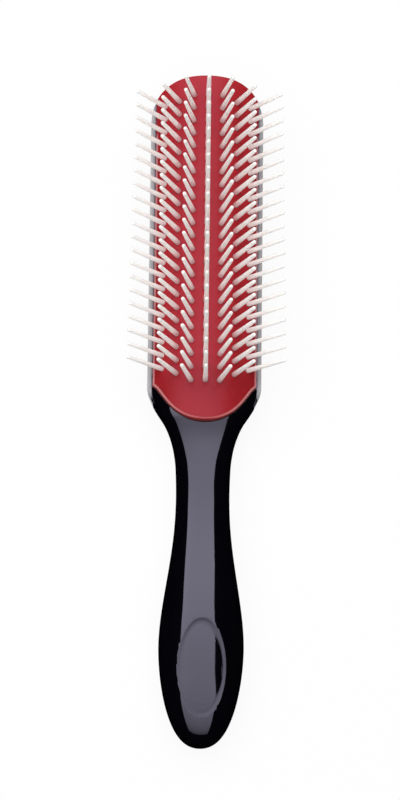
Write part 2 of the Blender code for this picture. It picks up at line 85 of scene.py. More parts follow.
def smoothstep(share: float) -> float:
    """Eases a share, clipped to 0 to 1, with no slope at either end."""
    share = min(max(share, 0.0), 1.0)
    return share * share * (3 - 2 * share)


def evenly(start: float, end: float, count: int) -> list[float]:
    """Places a number of points after start in even steps, the last of them at end."""
    return [start + (end - start) * (i + 1) / count for i in range(count)]


def quarter_turns(steps: int) -> list[float]:
    """Turns from 0 to a right angle in even steps."""
    return [i / steps * QUARTER_TURN for i in range(steps + 1)]


def full_turns(count: int) -> list[float]:
    """Turns all the way round, the last of them one step short of the first."""
    return [i / count * 2 * math.pi for i in range(count)]


def mirrored(half: Sequence[Pair]) -> list[Pair]:
    """Closes a right half outline that starts and ends on the middle line."""
    return list(half) + [(-across, along) for across, along in reversed(half[1:-1])]


def standing_at(root: Vector, direction: Vector) -> Matrix:
    """Stands something modelled upright at the origin on a root, its Z axis in a direction."""
    turn = Vector((0.0, 0.0, 1.0)).rotation_difference(direction)
    return Matrix.Translation(root) @ turn.to_matrix().to_4x4()


def upright_rings(profile: Sequence[Pair], sides: int) -> list[Ring]:
    """Turns a profile of radii and heights about Z, with so many sides."""
    turns = full_turns(sides)
    return [[Vector((r * math.cos(t), r * math.sin(t), height)) for t in turns] for r, height in profile]


@dataclass(frozen=True)
class SmoothCurve:
    """A curve without overshoot through measured pairs of share and value."""

    pairs: tuple[Pair, ...]
    flat_end: bool = True

    def slopes(self) -> list[float]:
        """Works out the slope at each pair, by harmonic means.

        Returns:
            One slope for each pair.
        """
        steps = [(v1 - v0) / (s1 - s0) for (s0, v0), (s1, v1) in zip(self.pairs, self.pairs[1:])]
        inner = [
            2 * one * other / (one + other) if one * other > 0 else 0.0
            for one, other in zip(steps, steps[1:])
        ]
        return [0.0] + inner + [0.0 if self.flat_end else steps[-1]]

    def at(self, share: float) -> float:
        """Reads the curve.

        Args:
            share: Where to read it, clipped to the pairs' range.

        Returns:
            The value there.
        """
        share = min(max(share, self.pairs[0][0]), self.pairs[-1][0])
        slopes = self.slopes()
        for i, ((s0, v0), (s1, v1)) in enumerate(zip(self.pairs, self.pairs[1:])):
            if share <= s1:
                span = s1 - s0
                t = (share - s0) / span
                rise = v0 * (1 + 2 * t) * (1 - t) ** 2 + v1 * t * t * (3 - 2 * t)
                lean = slopes[i] * t * (1 - t) ** 2 - slopes[i + 1] * t * t * (1 - t)
                return rise + lean * span
        return self.pairs[-1][1]


class Bench:
    """The hand tools with which every piece is modelled."""

    @staticmethod
    def put_down() -> None:
        """Leaves edit mode and deselects everything."""
        if bpy.context.object and bpy.context.object.mode != "OBJECT":
            bpy.ops.object.mode_set(mode="OBJECT")
        bpy.ops.object.select_all(action="DESELECT")

    @staticmethod
    def take(*bodies: Piece) -> None:
        """Selects bodies, the first of them active.

        Args:
            bodies: What to select.
        """
        Bench.put_down()
        for body in bodies:
            body.select_set(True)
        bpy.context.view_layer.objects.active = bodies[0]

    @staticmethod
    def open(body: Piece) -> None:
        """Opens a body in edit mode with all of it selected.

        Args:
            body: The body to edit.
        """
        Bench.take(body)
        bpy.ops.object.mode_set(mode="EDIT")
        bpy.ops.mesh.select_all(action="SELECT")

    @staticmethod
    def place_cap(body: Piece, ring: Ring) -> None:
        """Puts the corners of the one selected face on a ring of points.

        Args:
            body: The body in edit mode.
            ring: The points, in the face's own order.
        """
        bm = bmesh.from_edit_mesh(body.data)
        cap = next(face for face in bm.faces if face.select)
        for vert, point in zip(cap.verts, ring):
            vert.co = point
        bmesh.update_edit_mesh(body.data)

    @staticmethod
    def skin(name: str, rings: Sequence[Ring], pole: Vector | None = None) -> Piece:
        """Extrudes a disc from ring to ring into a closed body.

        Args:
            name: The new body's name.
            rings: Rings with the same number of points, from one end to the other.
            pole: Where the last ring closes to a point, if it does.

        Returns:
            The body, with its place in its mesh.
        """
        Bench.put_down()
        bpy.ops.mesh.primitive_circle_add(vertices=len(rings[0]), radius=MM, fill_type="NGON")
        body = bpy.context.object
        body.name = name
        Bench.open(body)
        bpy.ops.mesh.select_mode(type="FACE")
        Bench.place_cap(body, rings[0])
        last = [] if pole is None else [[pole] * len(rings[0])]
        for ring in [*rings[1:], *last]:
            bpy.ops.mesh.extrude_region_move()
            Bench.place_cap(body, ring)
        bpy.ops.mesh.select_all(action="SELECT")
        bpy.ops.mesh.remove_doubles(threshold=0.0005 * MM)
        bpy.ops.mesh.normals_make_consistent(inside=False)
        Bench.put_down()
        return body

    @staticmethod
    def profile_bar(name: str, outline: Sequence[Pair], places: Sequence[float]) -> Piece:
        """Carries an outline drawn in X and Z along Y, with a ring at each place."""
        return Bench.skin(name, [[Vector((x, y, z)) for x, z in outline] for y in places])

    @staticmethod
    def trim(body: Piece, outline: Sequence[Pair], low: float, high: float) -> None:
        """Trims a body to an outline in X and Y, from a height under it to a height over it."""
        block = Bench.skin("plan", [[Vector((x, y, z)) for x, y in outline] for z in (low, high)])
        Bench.use(body, block, Cut.KEEP_INSIDE)

    @staticmethod
    def use(body: Piece, tool: Piece, how: Cut) -> None:
        """Uses up one body as a tool on another.

        Args:
            body: The body that is kept.
            tool: The body that is used up.
            how: What the tool does.
        """
        Bench.take(body)
        modifier = body.modifiers.new("cut", "BOOLEAN")
        modifier.object = tool
        modifier.operation = how.value
        modifier.solver = "EXACT"
        modifier.use_hole_tolerant = True
        bpy.ops.object.modifier_apply(modifier=modifier.name)
        bpy.data.objects.remove(tool)

    @staticmethod
    def clean(body: Piece) -> None:
        """Merges the corners that a cut leaves all but on top of each other.

        Args:
            body: The body to clean.
        """
        Bench.open(body)
        bpy.ops.mesh.remove_doubles(threshold=MERGE)
        bpy.ops.mesh.dissolve_degenerate(threshold=MERGE / 4)
        Bench.put_down()

    @staticmethod
    def smooth(body: Piece, degrees: float) -> None:
        """Shades a body smooth, apart from its sharper edges.

        Args:
            body: The body to shade.
            degrees: Edges that turn by more than this stay sharp.
        """
        Bench.take(body)
        bpy.ops.object.shade_smooth_by_angle(angle=math.radians(degrees))
        Bench.put_down()

    @staticmethod
    def repeat(name: str, pattern: Piece, places: Iterable[Matrix], others: Sequence[Piece] = ()) -> Piece:
        """Copies a pattern to many places, uses it up and joins all into one body.

        Args:
            name: The joined body's name.
            pattern: What is copied, each copy with a mesh of its own.
            places: For each copy, where the pattern's own space goes.
            others: Bodies that the copies are joined to.

        Returns:
            The joined body, its place in its mesh.
        """
        bodies = list(others)
        for place in places:
            twin = pattern.copy()
            twin.data = pattern.data.copy()
            bpy.context.scene.collection.objects.link(twin)
            twin.data.transform(place)
            bodies.append(twin)
        bpy.data.objects.remove(pattern)
        Bench.take(*bodies)
        bpy.ops.object.join()
        bodies[0].name = name
        Bench.put_down()
        return bodies[0]


@dataclass(frozen=True)
class NoisePattern:
    """A noise: its waves a metre, its finer layers and their strength, and how its axes are stretched."""

    waves: float
    layers: float = 2.0
    layer_strength: float = 0.5
    stretch: Triple = (1.0, 1.0, 1.0)


class NodeDesk:
    """Lays out the nodes of one material or of the world."""

    def __init__(self, owner: bpy.types.Material | bpy.types.World) -> None:
        """Starts with the owner's own nodes.

        Args:
            owner: The material or world.
        """
        owner.use_nodes = True
        self.owner = owner
        self.tree = owner.node_tree
        self.shader = self.tree.nodes.get("Principled BSDF")

    def node(self, kind: str, **settings: object) -> bpy.types.Node:
        """Adds a node.

        Args:
            kind: The shader node's type, without its family name.
            settings: Properties of the node.

        Returns:
            The new node.
        """
        made = self.tree.nodes.new("ShaderNode" + kind)
        for key, value in settings.items():
            setattr(made, key, value)
        return made

    def link(self, start: Socket, end: Socket) -> None:
        """Joins an output to an input."""
        self.tree.links.new(start, end)

    def fill(self, node: bpy.types.Node, values: dict[str, Socket | float | Sequence[float]]) -> None:
        """Gives a node its inputs.

        Args:
            node: The node.
            values: For each input by name, its value or the socket that it is joined to.
        """
        for name, value in values.items():
            if isinstance(value, Socket):
                self.link(value, node.inputs[name])
            else:
                node.inputs[name].default_value = value

    def show(self, surface: Socket) -> None:
        """Makes a shader the material's surface."""
        self.link(surface, self.tree.nodes["Material Output"].inputs["Surface"])

    def place(self, stretch: Triple = (1.0, 1.0, 1.0)) -> Socket:
        """Reads the piece's own coordinates.

        Args:
            stretch: How much each axis is stretched.

        Returns:
            The stretched coordinates.
        """
        mapping = self.node("Mapping")
        self.fill(mapping, {"Vector": self.node("TexCoord").outputs["Object"], "Scale": stretch})
        return mapping.outputs["Vector"]

    def axes(self) -> Sequence[Socket]:
        """Splits the piece's own coordinates.

        Returns:
            Its X, Y and Z.
        """
        split = self.node("SeparateXYZ")
        self.link(self.place(), split.inputs["Vector"])
        return split.outputs

    def noise(self, pattern: NoisePattern) -> Socket:
        """Lays out a noise.

        Args:
            pattern: Its pattern.

        Returns:
            The noise from 0 to 1.
        """
        noise = self.node("TexNoise")
        self.fill(noise, {
            "Vector": self.place(pattern.stretch),
            "Scale": pattern.waves,
            "Detail": pattern.layers,
            "Roughness": pattern.layer_strength,
        })
        return noise.outputs["Fac"]

    def span(self, value: Socket, source: Pair, target: Pair = (0.0, 1.0), eased: bool = False) -> Socket:
        """Carries a value from one range to another, clipped.

        Args:
            value: The value that is carried over.
            source: Its range.
            target: The range that it gets.
            eased: Whether the ends are eased.

        Returns:
            The new value.
        """
        ranged = self.node("MapRange", interpolation_type="SMOOTHSTEP" if eased else "LINEAR")
        names = ("Value", "From Min", "From Max", "To Min", "To Max")
        self.fill(ranged, dict(zip(names, (value, *source, *target))))
        return ranged.outputs["Result"]

    def combine(self, one: Socket, other: Socket | float, how: str = "MULTIPLY") -> Socket:
        """Works out one number from two.

        Args:
            one: The first number.
            other: The second number or its socket.
            how: The operation's name.

        Returns:
            The answer.
        """
        worked = self.node("Math", operation=how)
        self.link(one, worked.inputs[0])
        if isinstance(other, Socket):
            self.link(other, worked.inputs[1])
        else:
            worked.inputs[1].default_value = other
        return worked.outputs["Value"]

    def without_sign(self, value: Socket) -> Socket:
        """Takes a number's sign away."""
        return self.combine(value, 0.0, "ABSOLUTE")

    def distance(self, across: Socket, along: Socket) -> Socket:
        """Finds how far off a point is from its two offsets."""
        square = self.combine(self.combine(across, across), self.combine(along, along), "ADD")
        return self.combine(square, 0.5, "POWER")

    def tint(self, share: Socket, low: Triple | Socket, high: Triple) -> Socket:
        """Mixes two colours.

        Args:
            share: How much of the second colour there is.
            low: The first colour or its socket.
            high: The second colour.

        Returns:
            The mixed colour.
        """
        mix = self.node("Mix", data_type="RGBA")
        first, second = (socket for socket in mix.inputs if socket.type == "RGBA")
        if isinstance(low, Socket):
            self.link(low, first)
        else:
            first.default_value = (*low, 1.0)
        second.default_value = (*high, 1.0)
        self.link(share, mix.inputs["Factor"])
        return next(socket for socket in mix.outputs if socket.type == "RGBA")

    def bump(self, layers: Iterable[tuple[Socket, float]], depth: float) -> None:
        """Stacks bump layers on the shader.

        Args:
            layers: Each layer's height pattern and strength.
            depth: The height of a full step.
        """
        below = {}
        for height, strength in layers:
            layer = self.node("Bump")
            self.fill(layer, {"Height": height, "Strength": strength, "Distance": depth, **below})
            below = {"Normal": layer.outputs["Normal"]}
        self.fill(self.shader, below)

    def seen_share(self) -> Socket:
        """Finds the rays that see the background: camera, glossy and transmission rays.

        Returns:
            1 for such a ray and 0 for others.
        """
        path = self.node("LightPath")
        share = path.outputs["Is Camera Ray"]
        for name in ("Is Glossy Ray", "Is Transmission Ray"):
            share = self.combine(share, path.outputs[name], "MAXIMUM")
        return share


@dataclass(frozen=True)
class PadFit:
    """The shapes that the handle and the pad share, so that one fits the other."""

    tip_y: float = 107.5 * MM
    head_half: float = 17.9 * MM
    tip_length: float = 15.0 * MM
    tip_exponent: float = 2.55
    end_y: float = -6.0 * MM
    end_bow: float = 12.2 * MM
    end_probe: float = 0.01
    half: float = 16.3 * MM
    radius: float = 25.4 * MM
    crown: float = 18.73 * MM
    clearance: float = 0.3 * MM
    beyond: float = 3.0 * MM
    end_shape: SmoothCurve = SmoothCurve(
        (
            (0.0, 0.0), (0.12, 0.01), (0.24, 0.04), (0.36, 0.1), (0.48, 0.19),
            (0.6, 0.32), (0.72, 0.5), (0.83, 0.71), (0.92, 0.89), (1.0, 1.0),
        ),
        flat_end=False,
    )

    @property
    def arch_centre(self) -> float:
        """Height of the middle of the pad's arch."""
        return self.crown - self.radius

    @property
    def tool_ends(self) -> Pair:
        """Where a bar that cuts the whole head starts and ends along Y."""
        return self.end_y - self.beyond, self.tip_y + self.beyond

    def arch_height(self, across: float) -> float:
        """Height of the pad's surface at a distance from the middle line."""
        return self.arch_centre + math.sqrt(self.radius**2 - across**2)

    def arch_points(self, radius: float, widest: float, steps: int) -> list[Pair]:
        """Follows an arc about the arch's centre from its side to the middle.

        Args:
            radius: The arc's radius.
            widest: Where it starts, across.
            steps: How many steps it has.

        Returns:
            Its points in X and Z.
        """
        turn = math.asin(widest / radius)
        turns = [turn * (1 - i / steps) for i in range(steps + 1)]
        return [(radius * math.sin(t), self.arch_centre + radius * math.cos(t)) for t in turns]

    def above_arch(self, desk: NodeDesk) -> Socket:
        """Finds how far a point stands out of the pad's arch.

        Args:
            desk: The material that is laid out.

        Returns:
            The distance from the arch's surface.
        """
        x, _, z = desk.axes()
        high = desk.combine(z, self.arch_centre, "SUBTRACT")
        return desk.combine(desk.distance(x, high), self.radius, "SUBTRACT")

    def tip_half(self, y: float) -> float:
        """Half the head's width where its tip is rounded.

        Args:
            y: The place along the brush.

        Returns:
            Half the width there, never quite nothing.
        """
        share = min(max((y - self.tip_y + self.tip_length) / self.tip_length, 0.0), 1.0)
        rounded = self.head_half * (1 - share**self.tip_exponent) ** (1 / self.tip_exponent)
        return max(rounded, self.clearance)

    def tip_line(self, inset: float, steps: int) -> list[Pair]:
        """Follows the rounded tip from the right side to the left.

        Args:
            inset: How far inside the outline the line runs at the tip.
            steps: Steps on each side.

        Returns:
            Its points in X and Y.
        """
        start = self.tip_y - self.tip_length
        power = 2 / self.tip_exponent
        scale = 1 - inset / self.tip_length
        right = []
        for turn in quarter_turns(steps):
            across = max(self.head_half * math.cos(turn) ** power, 0.0)
            right.append((across, start + self.tip_length * math.sin(turn) ** power * scale))
        return right[:-1] + [(0.0, right[-1][1])] + [(-x, y) for x, y in reversed(right[:-1])]

    def end_point(self, across: float, gap: float) -> Pair:
        """Finds a point of the pad's lower edge, moved out by a gap.

        Args:
            across: Its share of the pad's half-width.
            gap: How far out it is moved.

        Returns:
            The point in X and Y.
        """
        low, high = max(across - self.end_probe, 0.0), min(across + self.end_probe, 1.0)
        rise = (self.end_shape.at(high) - self.end_shape.at(low)) * self.end_bow
        slope = 0.0 if across == 0 else math.atan2(rise, (high - low) * self.half)
        along = self.end_y + self.end_bow * self.end_shape.at(across)
        return self.half * across + gap * math.sin(slope), along - gap * math.cos(slope)

    def end_line(self, gap: float, steps: int) -> list[Pair]:
        """Follows the pad's lower edge from left to right, carried past its sides.

        Args:
            gap: How far outside the pad's own edge it runs.
            steps: Steps on each side.

        Returns:
            Its points in X and Y.
        """
        right = [self.end_point(i / steps, gap) for i in range(steps + 1)]
        (near_x, near_y), (edge_x, edge_y) = right[-2:]
        far = self.head_half + self.beyond
        right.append((far, edge_y + (far - edge_x) * (edge_y - near_y) / (edge_x - near_x)))
        return [(-x, y) for x, y in reversed(right[1:])] + right


@dataclass(frozen=True)
class Recess:
    """The bare oval recess in the grip, its soft wall given as pairs of inset and depth."""

    y: float = -84.1 * MM
    length: float = 30.6 * MM
    width: float = 15.0 * MM
    wall: tuple[Pair, ...] = (
        (-0.9 * MM, -0.9 * MM), (0.0, 0.0), (0.1 * MM, 0.045 * MM), (0.25 * MM, 0.105 * MM),
        (0.42 * MM, 0.175 * MM), (0.6 * MM, 0.25 * MM), (0.78 * MM, 0.315 * MM),
        (0.95 * MM, 0.36 * MM), (1.12 * MM, 0.387 * MM), (1.3 * MM, 0.4 * MM),
    )
    floor_rings: int = 10
    sides: int = 96


@dataclass(frozen=True)
class GlossBlackFinish:
    """Polished black moulding with flow waves and hairlines, satin rims whose grey is a painted reflection
    brightening to their outer edge, and a dull wall at the recess.
    """

    recess: Recess
    name: str = "gloss_black_moulding"
    deep: Triple = (0.0009, 0.0008, 0.0016)
    haze: Triple = (0.0018, 0.0016, 0.0030)
    # Painted reflection: the grey that the black rims' gloss would reflect, painted into their colour, paler
    # still at the outer edge.
    reflection_painted_land: Triple = (0.28, 0.275, 0.27)
    reflection_painted_land_edge: Triple = (0.54, 0.525, 0.52)
    reflection: Triple = (0.80, 0.765, 1.0)
    ior: float = 1.6
    flow: NoisePattern = NoisePattern(160.0, 3.0, 0.55, (1.0, 0.25, 1.0))
    hairlines: NoisePattern = NoisePattern(420.0, 2.0, 0.6, (9.0, 0.35, 9.0))
    specks: NoisePattern = NoisePattern(2400.0, 1.0)
    gloss_from: Pair = (0.12, 0.45)
    gloss: Pair = (0.045, 0.085)
    speck_from: Pair = (0.66, 0.74)
    speck_roughness: Pair = (0.0, 0.05)
    relief: float = 0.05 * MM
    flow_strength: float = 0.12
    hairline_strength: float = 0.015
    speck_strength: float = 0.3
    land_across: Pair = (16.5 * MM, 17.9 * MM)
    land_start: Pair = (0.0, 0.1)
    land_height: Pair = (11.1 * MM, 11.3 * MM)
    land_fade: Pair = (-2.5 * MM, 5.5 * MM)
    land_roughness: float = 0.34
    wall_inside: Pair = (0.8, 0.9)
    wall_outside: Pair = (0.99, 1.01)
    wall_height: Pair = (9.0 * MM, 11.0 * MM)
    wall_roughness: float = 0.3

    def wall_mask(self, desk: NodeDesk) -> Socket:
        """Finds the wall round the recess in the grip.

        Args:
            desk: The material that is laid out.

        Returns:
            1 on the wall and 0 elsewhere.
        """
        x, y, z = desk.axes()
        across = desk.combine(x, 2 / self.recess.width)
        along = desk.combine(desk.combine(y, self.recess.y, "SUBTRACT"), 2 / self.recess.length)
        way = desk.distance(across, along)
        inside = desk.span(way, self.wall_inside)
        outside = desk.span(way, self.wall_outside, (1.0, 0.0))
        return desk.combine(desk.combine(inside, outside), desk.span(z, self.wall_height))

    def reflection_painted_land_mask(self, desk: NodeDesk) -> tuple[Socket, Socket]:
        """Finds the flat top of the rims beside the pad, where the painted reflection goes.

        Args:
            desk: The material that is laid out.

        Returns:
            1 on the rims and 0 elsewhere, and the way across them from 0 to 1.
        """
        x, y, z = desk.axes()
        across = desk.span(desk.without_sign(x), self.land_across)
        mask = desk.combine(desk.span(across, self.land_start), desk.span(z, self.land_height))
        return desk.combine(mask, desk.span(y, self.land_fade, eased=True)), across

    def make(self) -> bpy.types.Material:
        """Lays out the material.

        Returns:
            The finished material.
        """
        desk = NodeDesk(bpy.data.materials.new(self.name))
        flow, hairlines, specks = (desk.noise(kind) for kind in (self.flow, self.hairlines, self.specks))
        # The rims' land gets a painted reflection in its base colour, paler towards its outer edge.
        reflection_painted_land, across = self.reflection_painted_land_mask(desk)
        body = desk.tint(reflection_painted_land, desk.tint(flow, self.deep, self.haze), self.reflection_painted_land)
        reflection_painted_edge = desk.combine(reflection_painted_land, desk.combine(across, across))
        rough = desk.span(desk.combine(flow, hairlines), self.gloss_from, self.gloss)
        rough = desk.combine(rough, desk.span(specks, self.speck_from, self.speck_roughness), "ADD")
        rough = desk.combine(rough, desk.combine(reflection_painted_land, self.land_roughness), "ADD")
        rough = desk.combine(rough, desk.combine(self.wall_mask(desk), self.wall_roughness), "ADD")
        desk.fill(desk.shader, {
            "Base Color": desk.tint(reflection_painted_edge, body, self.reflection_painted_land_edge),
            "Roughness": rough,
            "IOR": self.ior,
            "Specular Tint": (*self.reflection, 1.0),
        })
        layers = (
            (flow, self.flow_strength),
            (hairlines, self.hairline_strength),
            (desk.combine(specks, reflection_painted_land), self.speck_strength),
        )
        desk.bump(layers, self.relief)
        return desk.owner


@dataclass(frozen=True)
class RedRubberFinish:
    """Satin red rubber with a soft mottle, a fine moulded grain and dusty bloom, lightened among the pins by
    painted light against their shade, with a painted highlight as a paler rim.
    """

    fit: PadFit
    name: str = "satin_red_rubber"
    deep: Triple = (0.280, 0.0100, 0.0130)
    plain: Triple = (0.320, 0.0120, 0.0155)
    dusty: Triple = (0.340, 0.0200, 0.0250)
    # Painted light: a lighter red among the pins, standing in for the light lost to their shade.
    painted_light_among_pins: Triple = (0.380, 0.0155, 0.0215)
    # Painted highlight: a paler pink on the bead that stands for the shine along the pad's rim.
    rim: Triple = (0.520, 0.2100, 0.2100)
    mottle: NoisePattern = NoisePattern(95.0, 4.0, 0.6)
    grain: NoisePattern = NoisePattern(2600.0, 2.0, 0.6)
    bloom: NoisePattern = NoisePattern(520.0, 3.0, 0.65)
    bloom_from: Pair = (0.55, 0.78)
    bloom_share: Pair = (0.0, 0.45)
    middle_values: Pair = (0.3, 0.7)
    painted_light_from: Pair = (7.0 * MM, 16.0 * MM)
    painted_light_share: float = 0.85
    painted_highlight_height: Pair = (0.18 * MM, 0.42 * MM)
    painted_highlight_across: Pair = (1.5 * MM, 16.0 * MM)
    painted_highlight_share: Pair = (0.28, 1.0)
    roughness: Pair = (0.33, 0.42)
    specular: float = 0.2
    reflection: Triple = (0.85, 0.72, 1.0)
    sheen: float = 0.15
    sheen_roughness: float = 0.35
    sheen_tint: Triple = (1.0, 0.72, 0.70)
    relief: float = 0.06 * MM
    mottle_strength: float = 0.25
    grain_strength: float = 0.12

    def make(self) -> bpy.types.Material:
        """Lays out the material.

        Returns:
            The finished material.
        """
        desk = NodeDesk(bpy.data.materials.new(self.name))
        mottle, grain, bloom = (desk.noise(kind) for kind in (self.mottle, self.grain, self.bloom))
        x, y, _ = desk.axes()
        body = desk.tint(desk.span(mottle, self.middle_values), self.deep, self.plain)
        # Painted light: the red is lightened among the pins, following the mottle, to offset the pins'
        # shade.
        share = (0.0, self.painted_light_share)
        field = desk.combine(desk.span(y, self.painted_light_from, share, eased=True), mottle)
        body = desk.tint(desk.span(field, (0.0, self.painted_light_share / 2), share), body, self.painted_light_among_pins)
        body = desk.tint(desk.span(bloom, self.bloom_from, self.bloom_share), body, self.dusty)
        # Painted highlight on the bead where it stands out of the arch, fainter towards the middle.
        painted_highlight_on_bead = desk.span(self.fit.above_arch(desk), self.painted_highlight_height)
        painted_highlight_by_side = desk.span(desk.without_sign(x), self.painted_highlight_across, self.painted_highlight_share)
        desk.fill(desk.shader, {
            "Base Color": desk.tint(desk.combine(painted_highlight_on_bead, painted_highlight_by_side), body, self.rim),
            "Roughness": desk.span(grain, self.middle_values, self.roughness),
            "Specular IOR Level": self.specular,
            "Specular Tint": (*self.reflection, 1.0),
            "Sheen Weight": self.sheen,
            "Sheen Roughness": self.sheen_roughness,
            "Sheen Tint": (*self.sheen_tint, 1.0),
        })
        desk.bump(((mottle, self.mottle_strength), (grain, self.grain_strength)), self.relief)
        return desk.owner


@dataclass(frozen=True)
class WhiteNylonFinish:
    """Milky nylon that lets a little light through, with drawn lines; its roots are tinted with painted red
    light from the pad and painted shade, and a faint painted glow stands for light shining through.
    """

    fit: PadFit
    name: str = "milky_white_nylon"
    milk: Triple = (0.88, 0.87, 0.85)
    clear: Triple = (0.83, 0.815, 0.79)
    # Painted light and shade: a darker red at the roots, standing in for the pad's red light through the
    # nylon and the shade there, less on the outer rows.
    root: Triple = (0.62, 0.24, 0.27)
    cloud: NoisePattern = NoisePattern(260.0, 3.0, 0.6)
    drawn: NoisePattern = NoisePattern(3600.0, 2.0, 0.5, (1.0, 1.0, 0.15))
    cloud_from: Pair = (0.32, 0.68)
    drawn_from: Pair = (0.3, 0.7)
    painted_red_reach: Pair = (4.6 * MM, -0.4 * MM)
    painted_red_across: Pair = (11.0 * MM, 13.5 * MM)
    painted_red_share: Pair = (1.0, 0.25)
    roughness: Pair = (0.36, 0.48)
    ior: float = 1.53
    milkiness: float = 0.5
    milk_depth: float = 1.2 * MM
    milk_radius: Triple = (1.0, 0.9, 0.8)
    # Painted glow: a faint emission in the nylon's colour, standing in for light shining through it.
    painted_glow: float = 0.1
    relief: float = 0.02 * MM
    drawn_strength: float = 0.10

    def make(self) -> bpy.types.Material:
        """Lays out the material.

        Returns:
            The finished material.
        """
        desk = NodeDesk(bpy.data.materials.new(self.name))
        cloud, drawn = desk.noise(self.cloud), desk.noise(self.drawn)
        body = desk.tint(desk.span(cloud, self.cloud_from), self.milk, self.clear)
        # Painted red light and shade at the roots, fading up the pins and on the outer rows.
        low = desk.span(self.fit.above_arch(desk), self.painted_red_reach)
        inner = desk.span(desk.without_sign(desk.axes()[0]), self.painted_red_across, self.painted_red_share)
        desk.fill(desk.shader, {
            "Base Color": desk.tint(desk.combine(low, inner), body, self.root),
            "Roughness": desk.span(drawn, self.drawn_from, self.roughness),
            "IOR": self.ior,
            "Subsurface Weight": self.milkiness,
            "Subsurface Radius": self.milk_radius,
            "Subsurface Scale": self.milk_depth,
            # Painted glow: the pins emit faintly, as light shining through would look.
            "Emission Color": (*self.milk, 1.0),
            "Emission Strength": self.painted_glow,
        })
        desk.bump(((drawn, self.drawn_strength),), self.relief)
        return desk.owner


